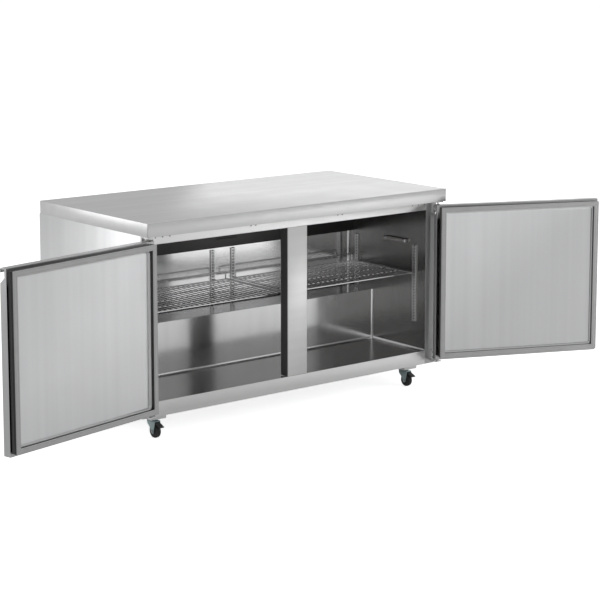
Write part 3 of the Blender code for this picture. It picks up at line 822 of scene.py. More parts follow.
@dataclass
class CabinetSheets:
    """The outer sheets and the front frame round the doors."""

    edge: float = 0.0005
    strip: float = 0.0014

    def build(self) -> None:
        """Makes the sheets, the mullion with its strips, and the screws."""
        for word in ("left", "right"):
            piece = Piece(f"side_sheet_{word}")
            piece.copy_of(f"side_panel_{word}", SHELL_STEEL)
            # The stiles' forward faces get the darker steel: painted shade.
            self._dress_front(piece, STILE_STEEL_PAINTED_SHADE)
            piece.done("cabinet", f"side_panel_{word}", edge=self.edge)
        for node in ("header_rail", "base_rail"):
            piece = Piece(node + "_sheet")
            piece.copy_of(node, RAIL_STEEL)
            piece.done("cabinet", node, edge=self.edge)
        for node in ("back_panel", "rear_grille", "base_pan"):
            piece = Piece(node + "_sheet")
            piece.copy_of(node, SHELL_STEEL)
            piece.done("cabinet", node, edge=self.edge)
        self._mullion()
        self._screws()

    def _dress_front(self, piece: Piece, finish: Finish) -> None:
        """Gives the faces that look forward another finish, a copy of the same steel in another tone, so that
        the tone follows which way a face points: painted light and shade.

        Args:
            piece: The piece.
            finish: The finish.
        """
        piece.mesh.normal_update()
        piece.dress([f for f in piece.mesh.faces if f.normal.y < -0.9], finish)

    def _mullion(self) -> None:
        """The post between the openings, with a ribbed strip on each side."""
        piece = Piece("mullion_post")
        # The mullion's sides get the darker steel, painted shade; its forward faces get the brighter rail
        # steel.
        piece.copy_of("mullion", STILE_STEEL_PAINTED_SHADE)
        self._dress_front(piece, RAIL_STEEL)
        piece.done("cabinet", "mullion", edge=0.0012)
        low, high = local_box("mullion")
        ribs = Piece("mullion_strips")
        count, depth = 7, high.y - low.y - 0.006
        for side, x in ((-1, low.x), (1, high.x)):
            outline = [(0.0, 0.0)]
            for k in range(count):
                a, b = depth * k / count, depth * (k + 1) / count
                outline += [
                    (a + 0.0006, self.strip), (b - 0.0018, self.strip), (b - 0.0010, self.strip * 0.35)
                ]
            outline.append((depth, 0.0))
            start = at(x, low.y + 0.003, low.z + 0.001)
            ribs.prism(outline, start, Z * (high.z - low.z - 0.002), Y, X * side, BREAKER)
        ribs.done("cabinet")

    def _screws(self) -> None:
        """Plugs in the spare hinge holes of the header, and the screws of the back sheets."""
        _, high = local_box("header_rail")
        line = high.z - 0.0117
        spare = [0.211, 0.2345, 0.622, 0.655, 0.689]
        points = [at(s * x, FRONT - MIDDLE.y - 0.0008, line) for x in spare for s in (-1, 1)]
        screws("header_plugs", SCREW_STEEL, "cabinet", points, 0.0042, 0.0016, FACING_FRONT)
        low, high = local_box("back_panel")
        rows = (low.z + 0.012, high.z - 0.012)
        points = [at(-0.735 + 0.245 * k, high.y + 0.0006, z) for k in range(7) for z in rows]
        grille = local_box("rear_grille")[0]
        points += [at(-0.735 + 0.245 * k, high.y + 0.0006, grille.z + 0.012) for k in range(7)]
        screws("back_screws", SCREW_STEEL, "cabinet", points, 0.004, 0.0012, FACING_BACK)


@dataclass
class RearLouvres:
    """Slanted blades in the rear grille's slots."""

    columns: tuple[float, float] = (0.18, 0.41)
    width: float = 0.199
    rows: int = 6
    pitch: float = 0.03

    def build(self) -> None:
        """Makes one bank of blades for each column of slots."""
        low, _ = local_box("rear_grille")
        first = local_box("base_pan")[1].z - 0.0015 + 0.066
        for index, x in enumerate(self.columns):
            start = at(x, low.y - 0.003, first)
            size = (self.width, 0.0008, 0.013)
            name = f"rear_louvres_{index + 1}"
            plates(name, SHELL_STEEL, "cabinet", self.rows, start, Z * self.pitch, size, (0.7, 0.0, 0.0))


@dataclass
class HingeBracket:
    """A bracket on the stile with the pin that a door turns on."""

    side: int
    word: str
    place: str
    plate: float = 0.005

    def build(self) -> bpy.types.Object:
        """Makes the bracket and its screws. Returns the bracket's object."""
        node = f"hinge_bracket_{self.word}_{self.place}"
        low, high = local_box(node)
        upper = self.place == "top"
        face = high.y
        inner, outer = sorted((self.side * 0.7335, self.side * 0.754))
        middle, half = (inner + outer) / 2, (outer - inner) / 2
        piece = Piece(f"{node}_plate")
        round_end, flat_end = (low.z, high.z) if upper else (high.z, low.z)
        way = -1 if upper else 1
        centre = round_end - way * half
        arc = [
            (half * math.cos(a), centre + way * half * math.sin(a))
            for a in (math.pi * k / 12 for k in range(13))
        ]
        outline = arc + [(-half, flat_end), (half, flat_end)]
        piece.prism(outline, at(middle, face, 0.0), Y * -self.plate, X, Z, RAIL_STEEL)
        tongue = (high.z - 0.004, high.z) if upper else (low.z, low.z + 0.004)
        piece.block(at(low.x, low.y, tongue[0]), at(high.x, face - self.plate, tongue[1]), RAIL_STEEL)
        hinge = Vector(joint(f"{self.word}_door_hinge")["pos_m"])
        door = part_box(f"{self.word}_door_shell")
        tip = door[1].z - 0.014 if upper else door[0].z + 0.014
        root = tongue[0] if upper else tongue[1]
        span = root - tip
        foot = Vector((hinge.x, hinge.y, tip))
        piece.turned([(0.003, 0.0), (0.004, span * 0.06), (0.004, span)], foot, Z, RAIL_STEEL, 16)
        made = piece.done("cabinet", node)
        heights = (centre, centre - way * 0.021)
        points = [at(middle, face - self.plate - 0.0008, z) for z in heights]
        screws(f"{node}_screws", SCREW_STEEL, "cabinet", points, 0.0050, 0.0016, FACING_FRONT)
        return made


# ---------------------------------------------------------------- doors


@dataclass
class Door:
    """An insulated door: outer shell with its top pull, ribbed breaker, inner pan and seal."""

    word: str
    flange: float = 0.013
    seal: float = 0.022
    recess: float = 0.008

    def __post_init__(self) -> None:
        """Works out how the door stands from its joint."""
        hinge = joint(f"{self.word}_door_hinge")
        spot = Vector(hinge["pos_m"])
        shut = max(hinge["range_deg"], key=abs)
        self.turn = Matrix.Translation(spot) @ Matrix.Rotation(
            math.radians(-shut), 4, "Z"
        ) @ Matrix.Translation(-spot)
        self.body = f"{self.word}_door"

    def shut_box(self, part: str) -> tuple[Vector, Vector]:
        """A CAD node's corners with the door shut.

        Args:
            part: The end of the node's name.

        Returns:
            The lowest and highest corners.
        """
        back = self.turn.inverted()
        points = [back @ v.co for v in frame["nodes"][f"{self.word}_door_{part}"].data.vertices]
        return Vector(
            [min(p[k] for p in points) for k in range(3)]
        ), Vector([max(p[k] for p in points) for k in range(3)])

    def _frame_rings(self, box: tuple, profile: list[tuple], radius: float) -> list[list[Vector]]:
        """Rings round the door's face.

        Args:
            box: The corners of the outer rectangle.
            profile: Pairs of inset and Y.
            radius: The corners' radius at no inset.

        Returns:
            The rings.
        """
        low, high = (box[0].x, box[0].z), (box[1].x, box[1].z)
        return [[Vector((x, y, z)) for x, z in rectangle(low, high, i, radius, 5)] for i, y in profile]

    def build(self) -> None:
        """Makes the door's pieces."""
        shell = Piece(f"{self.body}_outer")
        # The door's outer shell gets the darker steel: painted shade and dark reflection.
        shell.copy_of(f"{self.body}_shell", STILE_STEEL_PAINTED_SHADE)
        shell.done(self.body, f"{self.body}_shell", edge=0.0012)
        self._pan()
        self._seal()
        self._bushes()

    def _pan(self) -> None:
        """The ribbed breaker round the edge and the pressed inner pan."""
        box = self.shut_box("panel")
        back, face = box[0].y, box[1].y
        depth = face - back
        outline = [(0.0, back)]
        for k in range(3):
            a, b = back + depth * k / 3, back + depth * (k + 1) / 3
            outline += [(0.0, a + 0.0006), (0.0, b - 0.0014), (0.0012, b - 0.0007)]
        outline += [(self.flange, face), (self.flange, back)]
        ring = Piece(f"{self.body}_breaker")
        ring.rings(self._frame_rings(box, outline, 0.0), BREAKER, loop=True)
        ring.done(self.body, turn=self.turn)
        lip, floor = self.seal + 0.0012, face - self.recess
        profile = [
            (self.flange + 0.0004, back), (self.flange + 0.0004, face), (lip, face),
            (lip + 0.001, face - 0.0004)
        ]
        profile += [
            (lip + 0.0016, face - 0.0014), (lip + 0.0024, floor + 0.0016), (lip + 0.0034, floor + 0.0004)
        ]
        profile.append((lip + 0.0050, floor))
        pan = Piece(f"{self.body}_inner_pan")
        pan.rings(self._frame_rings(box, profile, 0.034), DOOR_STEEL)
        pan.done(self.body, f"{self.body}_panel", turn=self.turn)

    def _seal(self) -> None:
        """The magnetic seal: a flat face with two grooves on a bellows coloured near black, painted shade on
        the grey seal.
        """
        box = self.shut_box("gasket")
        face, back, wide = box[1].y, box[0].y, self.seal
        top = [
            (0.0, 0.0017), (0.0012, 0.0003), (0.0040, 0.0), (0.0050, 0.0009), (0.0060, 0.0), (0.0110, -0.0)
        ]
        top += [(0.0150, 0.0), (0.0160, 0.0009), (0.0170, 0.0), (0.0208, 0.0003), (wide, 0.0017)]
        lips = Piece(f"{self.body}_seal_face")
        rows = top + [(wide - 0.0012, 0.0030), (0.0012, 0.0030)]
        lips.rings(self._frame_rings(box, [(i, face - d) for i, d in rows], 0.0), SEAL_FACE, loop=True)
        lips.done(self.body, f"{self.body}_gasket", turn=self.turn)
        depth = face - back
        folds = [
            (0.0016, 0.0031), (0.0042, 0.0046), (0.0012, 0.0068), (0.0042, 0.0092), (0.0012, 0.0115),
            (0.0030, depth)
        ]
        inner = [(wide - i, d) for i, d in reversed(folds)]
        bellows = Piece(f"{self.body}_seal_bellows_painted_shade")
        rings = self._frame_rings(box, [(i, face - d) for i, d in folds + inner], 0.0)
        bellows.rings(rings, SEAL_SIDE_PAINTED_SHADE, loop=True)
        bellows.done(self.body, turn=self.turn)

    def _bushes(self) -> None:
        """Nylon bushes where the pins go into the shell."""
        spot = Vector(joint(f"{self.word}_door_hinge")["pos_m"])
        low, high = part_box(f"{self.word}_door_shell")
        bush = Piece(f"{self.body}_bushes")
        profile = [(0.0046, 0.0), (0.0092, 0.0), (0.0086, 0.0022), (0.0046, 0.0026)]
        steps = 20
        for z, way in ((high.z, Z), (low.z, -Z)):
            centre = Vector((spot.x, spot.y, z))
            side = way.orthogonal().normalized()
            other = way.cross(side)
            angles = [math.tau * k / steps for k in range(steps)]
            rows = []
            for r, h in profile:
                rows.append(
                    [centre + way * h + (side * math.cos(a) + other * math.sin(a)) * r for a in angles]
                )
            bush.rings(rows, PLASTIC, loop=True)
        bush.done(self.body)


# ---------------------------------------------------------------- inside


@dataclass
class Liner:
    """The cold space's sheets, with coved corners between them."""

    radius: float = 0.009

    def build(self) -> None:
        """Dresses the sheets, the side, ceiling and floor sheets with painted shade and the rear sheet with
        painted light, and makes the coves and the step's nose.
        """
        for node in ("liner_left", "liner_right", "liner_ceiling", "liner_floor"):
            self._dress(node, LINER_STEEL_PAINTED_SHADE)
        self._dress("liner_rear", BACK_STEEL_PAINTED_LIGHT)
        low, _ = local_box("liner_rear")
        floor, step_y = local_box("liner_floor")[1].z, low.y
        shelf = local_box("pilaster_left_rear")[0].z - 0.008
        wall_y = local_box("pilaster_left_back")[1].y + 0.0003
        front = local_box("liner_floor")[0].y
        ceiling = local_box("evaporator_cover")[0].z
        half = local_box("liner_right")[0].x
        cove = Piece("liner_coves")
        length = X * (2 * half - 0.002)
        self._cove(cove, at(-half + 0.001, step_y, floor), length, -Y, Z)
        self._cove(cove, at(-half + 0.001, wall_y, shelf), length, -Y, Z)
        for side in (-1, 1):
            inward = X * -side
            self._cove(cove, at(side * half, step_y, floor), Z * (shelf - floor), inward, -Y)
            self._cove(cove, at(side * half, wall_y, shelf), Z * (ceiling - shelf), inward, -Y)
            self._cove(cove, at(side * half, front, floor), Y * (step_y - front), inward, Z)
        # The step's nose is in the near-white steel too: a painted highlight.
        nose = [
            (-0.0006, -0.0022), (-0.0002, -0.0004), (0.0004, 0.0002), (0.0022, 0.0006), (0.0030, -0.001),
            (0.001, -0.003)
        ]
        cove.prism(nose, at(-half + 0.001, step_y, shelf), length, Y, Z, COVE_STEEL_PAINTED_HIGHLIGHT)
        cove.done("cabinet")

    def _dress(self, node: str, finish: Finish) -> None:
        """Gives a CAD node its finish.

        Args:
            node: The node.
            finish: The finish.
        """
        data = frame["nodes"][node].data
        data.materials.clear()
        data.materials.append(finish.material())

    def _cove(self, piece: Piece, corner: Vector, along: Vector, across: Vector, up: Vector) -> None:
        """One hollow fillet in a corner, in the near-white steel that is a painted highlight.

        Args:
            piece: The piece that it is part of.
            corner: Where the two sheets meet.
            along: How far and which way it runs.
            across: Away from the corner on one sheet.
            up: Away from the corner on the other.
        """
        r, skin = self.radius, 0.0002
        arc = [
            (r + r * math.cos(a), r + r * math.sin(a))
            for a in (math.radians(270 - 15 * k) for k in range(7))
        ]
        outline = [(skin, skin)] + [(x + skin, y + skin) for x, y in arc]
        piece.prism(outline, corner, along, across, up, COVE_STEEL_PAINTED_HIGHLIGHT)


@dataclass
class Pilaster:
    """A slotted strip that the shelf clips hook into."""

    node: str
    pitch: float = 0.0127
    rail: float = 0.0055
    slot: float = 0.0062

    def build(self) -> None:
        """Makes the two rails with a near-black plate behind them, painted shade seen through the slots, and
        the rungs between the slots.
        """
        low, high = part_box(self.node)
        wide_x = (high.x - low.x) > (high.y - low.y)
        piece = Piece(f"{self.node}_rails")
        for lowest in (True, False):
            a, b = low.copy(), high.copy()
            axis = 0 if wide_x else 1
            if lowest:
                b[axis] = a[axis] + self.rail
            else:
                a[axis] = b[axis] - self.rail
            piece.block(a, b, RAIL_STEEL)
        back_low, back_high = low.copy(), high.copy()
        axis, depth = (0, 1) if wide_x else (1, 0)
        back_low[axis] += self.rail
        back_high[axis] -= self.rail
        far = self._wall_at_high(low, high, depth)
        if far:
            back_low[depth] = high[depth] - 0.0015
        else:
            back_high[depth] = low[depth] + 0.0015
        # The near-black plate behind the slots is painted shade.
        piece.block(back_low, back_high, SHADE_AND_PRINT_BLACK, 0.0002)
        piece.done("cabinet", self.node)
        middle = (low + high) / 2
        face = low[depth] + 0.0010 if far else high[depth] - 0.0010
        start = middle.copy()
        start[depth] = face
        start.z = low.z + 0.004
        size = Vector((0.0, 0.0, self.pitch - self.slot))
        size[axis] = (high - low)[axis] - 2 * self.rail + 0.0004
        size[depth] = 0.0012
        count = int((high.z - low.z - 0.006) / self.pitch) + 1
        plates(f"{self.node}_rungs", RAIL_STEEL, "cabinet", count, start, Z * self.pitch, size)

    def _wall_at_high(self, low: Vector, high: Vector, depth: int) -> bool:
        """Says whether the sheet behind the strip is on its high side.

        Args:
            low: The strip's lowest corner.
            high: Its highest corner.
            depth: The axis through its thickness.

        Returns:
            True if it is.
        """
        if depth == 0:
            return low.x > MIDDLE.x
        return "back" in self.node


@dataclass
class Shelf:
    """A wire shelf: fine wires on cross rods in a heavier frame, with a raised stop at the rear."""

    word: str
    wire: float = 0.0023
    rod: float = 0.0026
    rim: float = 0.0031
    stop: float = 0.0028
    pitch: float = 0.0254

    def build(self) -> None:
        """Makes the frame and stop, the wires and the cross rods."""
        low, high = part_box(f"{self.word}_shelf")
        body, level = f"{self.word}_shelf", low.z + 0.0020
        r = self.rim
        frame_piece = Piece(f"{self.word}_shelf_rim")
        corners = rectangle(low[:2], high[:2], r, 0.009, 5)
        frame_piece.tube([Vector((x, y, level)) for x, y in corners], r, BRIGHT_WIRE, 12, closed=True)
        back, left, right = high.y - r, low.x + 0.016, high.x - 0.016
        top = high.z - 0.0022
        corners = [(left, level), (left, top), (right, top), (right, level)]
        path = bend([Vector((x, back, z)) for x, z in corners], 0.010)
        frame_piece.tube(path, self.stop, BRIGHT_WIRE, 10)
        frame_piece.done(body, f"{self.word}_shelf")
        count = int((high.x - low.x - 0.020) / self.pitch) + 1
        first = (low.x + high.x - (count - 1) * self.pitch) / 2
        start = Vector((first, low.y + r, level + 0.0012))
        span = Y * (high.y - low.y - 2 * r)
        rods(f"{self.word}_shelf_wires", BRIGHT_WIRE, body, count, start, X * self.pitch, span, self.wire, 8)
        start = Vector((low.x + r, low.y + 0.09, level - 0.0022))
        span, step = X * (high.x - low.x - 2 * r), Y * ((high.y - low.y - 0.12) / 3)
        rods(f"{self.word}_shelf_cross_rods", BRIGHT_WIRE, body, 4, start, step, span, self.rod, 10)
        self._clips(low)

    def _clips(self, low: Vector) -> None:
        """Bent clips in the pilasters, just under the shelf.

        Args:
            low: The shelf's lowest corner.
        """
        clips = Piece(f"{self.word}_shelf_clips")
        for place in ("front", "rear", "mullion", "back"):
            a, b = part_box(f"pilaster_{self.word}_{place}")
            middle = (a + b) / 2
            side_wall = place in ("front", "rear")
            away = -1.0 if (side_wall and middle.x > MIDDLE.x) or place == "back" else 1.0
            out = X * away if side_wall else Y * away
            across = Y if side_wall else X
            root = Vector((middle.x, middle.y, low.z - 0.0052)) + out * 0.003
            outline = [
                (0.0, 0.0), (0.011, 0.0), (0.012, 0.003), (0.0105, 0.003), (0.0100, 0.0014), (0.0, 0.0014)
            ]
            clips.prism(outline, root - across * 0.006, across * 0.012, out, Z, SCREW_STEEL)
            tab = [(0.0, -0.011), (0.0014, -0.011), (0.0014, 0.0), (0.0, 0.0)]
            clips.prism(tab, root - across * 0.004, across * 0.008, out, Z, SCREW_STEEL)
        clips.done("cabinet")


@dataclass
class Thermometer:
    """A tube thermometer on two clips, with a plain scale."""

    tube: float = 0.0074
    cap: float = 0.0086

    def build(self) -> None:
        """Makes the tube, its caps and clips, and the scale's marks."""
        low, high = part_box("thermometer")
        x, z = low.x + self.cap, (low.z + high.z) / 2
        length = high.y - low.y
        start = Vector((x, low.y, z))
        body = Piece("thermometer_tube")
        t, c = self.tube, self.cap
        body.turned([(t, 0.012), (t, length - 0.012)], start, Y, TUBE_CASE, 20)
        for profile in (
            [(c * 0.7, 0.0), (c, 0.002), (c, 0.012), (t, 0.0135)],
            [(t, length - 0.0135), (c, length - 0.012), (c, length - 0.002), (c * 0.7, length)],
        ):
            body.turned(profile, start, Y, RAIL_STEEL, 20)
        for y in (low.y + 0.022, high.y - 0.028):
            body.block((x + t * 0.7, y, z - 0.006), (high.x, y + 0.006, z + 0.006), SCREW_STEEL)
        body.done("cabinet", "thermometer")
        first = Vector((x - t + 0.0001, low.y + 0.020, z))
        size = (0.0006, 0.0006, 0.0055)
        plates("thermometer_marks", SHADE_AND_PRINT_BLACK, "cabinet", 24, first, Y * 0.0041, size)


@dataclass
class EvaporatorCover:
    """The cover across the rear of the cold space, with its air slots."""

    pitch: float = 0.009

    def build(self) -> None:
        """Makes the cover and the row of slots in front of the fan."""
        piece = Piece("evaporator_cover_sheet")
        # The cover's near-black steel is painted shade.
        piece.copy_of("evaporator_cover", COVER_STEEL_PAINTED_SHADE)
        piece.done("cabinet", "evaporator_cover", edge=0.0008)
        low, high = local_box("evaporator_cover")
        start = at(0.0, low.y - 0.0004, (low.z + high.z) / 2 - 4 * self.pitch)
        # The slots are near-black plates: painted shade in the openings.
        plates("evaporator_slots", SHADE_AND_PRINT_BLACK, "cabinet", 9, start, Z * self.pitch, (0.11, 0.0008, 0.004))


# ---------------------------------------------------------------- casters


@dataclass
class Caster:
    """A swivel caster: top plate, race, pressed fork, wheel and, in front, a brake."""

    word: str
    brake: bool
    sheet: float = 0.0025

    def build(self) -> None:
        """Makes the caster's pieces, each on its own body."""
        low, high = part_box(f"caster_{self.word}_wheel")
        self.axle = (low + high) / 2
        self.radius, self.half = (high.z - low.z) / 2, (high.x - low.x) / 2
        self.swivel = Vector(joint(f"caster_{self.word}_swivel")["pos_m"])
        self.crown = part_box(f"caster_{self.word}_fork")[1].z
        self._plate()
        self._fork()
        self._wheel()
        if self.brake:
            pedal = Piece(f"brake_{self.word}_lever")
            pedal.copy_of(f"brake_pedal_{self.word}", PEDAL)
            pedal.done(f"brake_{self.word}", f"brake_pedal_{self.word}", edge=0.0007)

    def _plate(self) -> None:
        """The fixed plate under the base channel, with its four screws."""
        s, top = self.swivel, self.crown + 0.0002
        low, high = (s.x - 0.029, s.y - 0.029), (s.x + 0.029, s.y + 0.029)
        plate = Piece(f"caster_{self.word}_top_plate")
        levels = ((0.0, top), (0.0, top - 0.0022), (0.0006, top - 0.0026))
        plate.rings(
            [[Vector((x, y, z)) for x, y in rectangle(low, high, i, 0.006, 4)] for i, z in levels], ZINC
        )
        plate.done("cabinet")
        points = [(s.x + a, s.y + b, top - 0.0034) for a in (-0.022, 0.022) for b in (-0.022, 0.022)]
        name = f"caster_{self.word}_plate_screws"
        screws(name, SCREW_STEEL, "cabinet", points, 0.0042, 0.0018, (math.pi, 0.0, 0.0))

    def _fork(self) -> None:
        """The race, the two shaped legs, the bridge between them and the axle bolt."""
        s, axle, t = self.swivel, self.axle, self.sheet
        fork = Piece(f"caster_{self.word}_pressed_fork")
        top = self.crown - 0.0028
        race = [(0.018, 0.0), (0.0205, -0.0015), (0.0205, -0.005), (0.018, -0.0075), (0.015, -0.0085)]
        fork.turned(race, Vector((s.x, s.y, top)), Z, ZINC, 28)
        bridge_z = self.crown - 0.0135
        inner = self.half + 0.0012
        back = s.y + 0.016 - axle.y
        shape = [(back, bridge_z + 0.004), (-0.014, bridge_z + 0.004), (-0.0155, bridge_z - 0.004)]
        for k in range(9):
            a = math.radians(200 + 140 * k / 8)
            shape.append((0.0098 * math.cos(a), axle.z + 0.0098 * math.sin(a)))
        shape += [(0.013, axle.z + 0.010), (back * 0.9, bridge_z - 0.010)]
        for hand in (-1, 1):
            start = Vector((axle.x + hand * inner, axle.y, 0.0))
            fork.prism(shape, start, X * hand * t, Y, Z, ZINC)
        fork.block(
            (axle.x - inner - t, axle.y - 0.0142, bridge_z),
            (axle.x + inner + t, s.y + 0.0162, bridge_z + 0.0042),
            ZINC,
            0.0012,
        )
        reach = inner + t
        for hand in (-1, 1):
            spot = Vector((axle.x + hand * reach, axle.y, axle.z))
            fork.turned([(0.0058, 0.0), (0.0058, 0.0024), (0.0048, 0.0034)], spot, X * hand, SCREW_STEEL, 6)
        fork.turned([(0.0034, -reach), (0.0034, reach)], axle, X, SCREW_STEEL, 12)
        fork.done(f"caster_{self.word}", f"caster_{self.word}_fork")

    def _wheel(self) -> None:
        """The wheel: a rounded tread on a hub with a dished face."""
        r, h = self.radius, self.half
        wheel = Piece(f"caster_{self.word}_tyre")
        crown = [(r - 0.0045, h - 0.0012), (r - 0.0018, h - 0.0020), (r - 0.0004, h - 0.0045), (r, h - 0.008)]
        tread = crown + [(a, -b) for a, b in reversed(crown)]
        face = [(0.0040, h), (0.0090, h), (0.0105, h - 0.0022), (0.0180, h - 0.0030), (0.0205, h - 0.0012)]
        outline = face + tread + [(a, -b) for a, b in reversed(face)]
        side, other, rows = Y, Z, []
        for radius, reach in outline:
            angles = [math.tau * k / 40 for k in range(40)]
            rows.append(
                [
                    self.axle + X * reach + (side * math.cos(a) + other * math.sin(a)) * radius
                    for a in angles
                ]
            )
        wheel.rings(rows, TREAD, loop=True)
        wheel.done(f"wheel_{self.word}", f"caster_{self.word}_wheel")


# ---------------------------------------------------------------- cooling unit


@dataclass
class CoolingUnit:
    """The compressor, coils, fans and their housings behind the cold space."""

    fin_pitch: float = 0.006

    def build(self) -> None:
        """Makes the unit's pieces."""
        self._coil("condenser_coil", 5)
        self._coil("evaporator_coil", 3)
        self._compressor()
        for node, finish in (
            ("condenser_shroud", SHELL_STEEL),
            ("control_box", PLASTIC),
            ("condensate_pan", PLASTIC),
            ("power_inlet", PLASTIC),
        ):
            piece = Piece(node + "_shell")
            piece.copy_of(node, finish)
            piece.done("cabinet", node, edge=0.0008)
        for node in ("condenser_fan", "evaporator_fan"):
            piece = Piece(node + "_wheel")
            piece.copy_of(node, PLASTIC)
            piece.done(node, node)
        for name in frame["nodes"]:
            if name.startswith("foam_"):
                data = frame["nodes"][name].data
                data.materials.clear()
                data.materials.append(FOAM.material())

    def _coil(self, node: str, rows: int) -> None:
        """A stack of fins on copper tubes.

        Args:
            node: The CAD node that it stands for.
            rows: How many tubes show at each end.
        """
        low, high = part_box(node)
        depth, height = high.y - low.y, high.z - low.z
        tubes = Piece(f"{node}_tubes")
        for k in range(rows):
            z = low.z + height * (k + 0.5) / rows
            for y in (low.y + depth * 0.3, low.y + depth * 0.7):
                tubes.tube([Vector((low.x + 0.002, y, z)), Vector((high.x - 0.002, y, z))], 0.004, COPPER, 10)
        for x in (low.x + 0.004, high.x - 0.0055):
            tubes.block((x, low.y, low.z), (x + 0.0015, high.y, high.z), SHELL_STEEL, 0.0002)
        tubes.done("cabinet", node)
        count = int((high.x - low.x - 0.016) / self.fin_pitch)
        start = Vector((low.x + 0.009, (low.y + high.y) / 2, (low.z + high.z) / 2))
        size = (0.0004, depth - 0.002, height - 0.002)
        plates(f"{node}_fins", FIN_STOCK, "cabinet", count, start, X * self.fin_pitch, size)

    def _compressor(self) -> None:
        """A domed steel can on a foot plate, with four feet."""
        low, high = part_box("compressor")
        middle = (low + high) / 2
        radius = min(high.x - low.x, high.y - low.y) / 2 * 0.92
        height = high.z - low.z
        can = Piece("compressor_can")
        profile = [(radius * 0.80, 0.010), (radius * 0.97, 0.018), (radius, 0.032), (radius, height * 0.47)]
        profile += [(radius * 1.04, height * 0.48), (radius * 1.04, height * 0.52), (radius, height * 0.53)]
        profile += [(radius, height * 0.74), (radius * 0.93, height * 0.87), (radius * 0.72, height * 0.96)]
        profile += [(radius * 0.35, height), (radius * 0.05, height)]
        can.turned(profile, Vector((middle.x, middle.y, low.z)), Z, ENAMEL, 36)
        can.block((low.x, low.y + 0.01, low.z + 0.004), (high.x, high.y - 0.01, low.z + 0.008), ENAMEL)
        for x in (low.x + 0.014, high.x - 0.014):
            for y in (low.y + 0.024, high.y - 0.024):
                can.turned(
                    [(0.009, 0.0), (0.010, 0.002), (0.008, 0.0042)], Vector((x, y, low.z)), Z, PLASTIC, 14
                )
        can.done("cabinet", "compressor")


# ---------------------------------------------------------------- studio


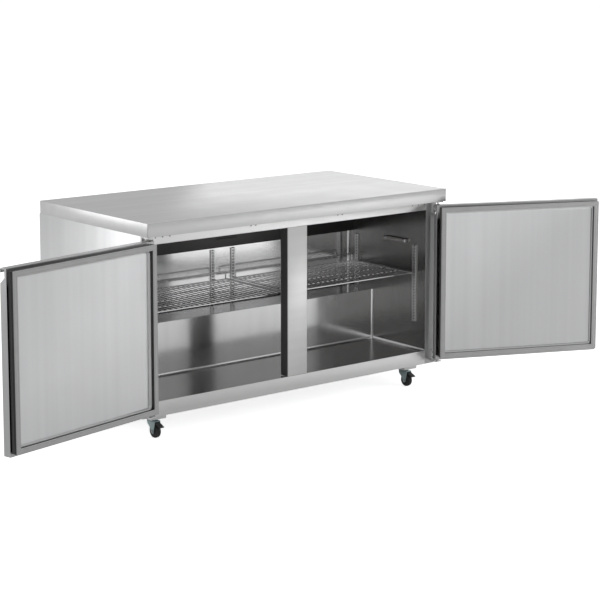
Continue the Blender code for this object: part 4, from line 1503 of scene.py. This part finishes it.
@dataclass
class Studio:
    """The floor, the soft lights and the camera."""

    surround: float = 0.55
    front_power: float = 78.0
    overhead_power: float = 10.0
    rear_power: float = 16.0
    side_power: float = 26.0
    floor_lift: float = 0.75
    lens: float = 110.48
    shift: float = -0.1667
    stand: tuple[float, float, float] = (-4.5651, -6.0156, 1.0763)
    pitch: float = 81.71
    yaw: float = -38.84

    def build(self) -> None:
        """Makes the studio."""
        self._camera()
        self._floor()
        self._world()
        self._light(
            "front_softbox", (3.4, -4.0, 2.0), (2.4, 1.8), self.front_power, aim=(2.9, -2.6, 0.0),
            mirrored=False
        )
        self._light("overhead_softbox", (0.8, 0.6, 4.2), (4.6, 3.6), self.overhead_power)
        self._light("rear_softbox", (4.4, 4.0, 1.5), (3.2, 2.4), self.rear_power)
        self._light("side_softbox", (-3.8, 3.2, 1.3), (2.6, 2.2), self.side_power)
        bpy.context.scene.view_settings.view_transform = "Standard"

    def _camera(self) -> None:
        """The camera, placed from the middle of the worktop's top face."""
        data = bpy.data.cameras.new("camera")
        data.lens, data.sensor_width, data.shift_y = self.lens, 36.0, self.shift
        data.clip_end = 100.0
        camera = bpy.data.objects.new("camera", data)
        bpy.context.scene.collection.objects.link(camera)
        top = Vector((CENTRE.x, CENTRE.y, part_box("worktop")[1].z))
        camera.location = top + Vector(self.stand)
        camera.rotation_euler = (math.radians(self.pitch), 0.0, math.radians(self.yaw))
        bpy.context.scene.camera = camera

    def _floor(self) -> None:
        """A wide pale floor."""
        data = bpy.data.meshes.new("floor")
        s = 30.0
        data.from_pydata([(-s, -s, 0.0), (s, -s, 0.0), (s, s, 0.0), (-s, s, 0.0)], [], [(0, 1, 2, 3)])
        floor = bpy.data.objects.new("floor", data)
        bpy.context.scene.collection.objects.link(floor)
        pale = bpy.data.materials.new("pale_floor")
        pale.use_nodes = True
        shader = pale.node_tree.nodes["Principled BSDF"]
        shader.inputs["Base Color"].default_value = (0.93, 0.93, 0.93, 1.0)
        shader.inputs["Roughness"].default_value = 0.9
        shader.inputs["Specular IOR Level"].default_value = 0.1
        shader.inputs["Emission Color"].default_value = (1.0, 1.0, 1.0, 1.0)
        lift = self._seen_by_camera(pale.node_tree, 0.0, self.floor_lift)
        pale.node_tree.links.new(lift, shader.inputs["Emission Strength"])
        data.materials.append(pale)

    def _seen_by_camera(self, tree: bpy.types.NodeTree, other: float, seen: float) -> bpy.types.NodeSocket:
        """A strength that differs where the camera looks straight at a thing.

        Args:
            tree: The node tree.
            other: The strength for all other light.
            seen: The strength for the camera.

        Returns:
            The socket that gives it.
        """
        path = tree.nodes.new("ShaderNodeLightPath")
        choice = tree.nodes.new("ShaderNodeMapRange")
        choice.inputs["To Min"].default_value = other
        choice.inputs["To Max"].default_value = seen
        tree.links.new(path.outputs["Is Camera Ray"], choice.inputs["Value"])
        return choice.outputs["Result"]

    def _world(self) -> None:
        """An even pale surround."""
        world = bpy.data.worlds.new("surround")
        world.use_nodes = True
        world.node_tree.nodes["Background"].inputs["Color"].default_value = (1.0, 1.0, 1.0, 1.0)
        strength = self._seen_by_camera(world.node_tree, self.surround, 1.02)
        world.node_tree.links.new(strength, world.node_tree.nodes["Background"].inputs["Strength"])
        bpy.context.scene.world = world

    def _light(
        self, name: str, place: tuple, size: tuple, power: float, aim: tuple = (0.0, 0.0, 0.5),
        mirrored: bool = True
    ) -> None:
        """A soft area light.

        Args:
            name: Its name.
            place: Where it stands, from the middle of the worktop and the floor.
            size: Its width and height.
            power: Its power.
            aim: What it looks at.
            mirrored: Whether bright metal shows it.
        """
        data = bpy.data.lights.new(name, "AREA")
        data.shape = "RECTANGLE"
        data.size, data.size_y, data.energy = size[0], size[1], power
        light = bpy.data.objects.new(name, data)
        light.visible_glossy = mirrored
        bpy.context.scene.collection.objects.link(light)
        light.location = at(*place)
        way = at(*aim) - light.location
        light.rotation_euler = way.to_track_quat("-Z", "Y").to_euler()


def main() -> None:
    """Builds the refrigerator piece by piece and reports each one."""
    logging.basicConfig(level=logging.INFO, format="%(name)s: %(message)s")
    parts = [Studio(), Worktop(), CabinetSheets(), RearLouvres(), Liner(), EvaporatorCover(), Thermometer()]
    parts += [HingeBracket(s, w, p) for s, w in ((-1, "left"), (1, "right")) for p in ("top", "bottom")]
    parts += [Door("left"), Door("right"), Shelf("left"), Shelf("right")]
    parts += [Pilaster(node) for node in sorted(frame["nodes"]) if node.startswith("pilaster_")]
    places = (("front_left", True), ("front_right", True), ("rear_left", False), ("rear_right", False))
    parts += [Caster(word, brake) for word, brake in places]
    parts.append(CoolingUnit())
    for part in parts:
        part.build()
        LOG.info("built %s", part)


if __name__ == "__main__":
    main()
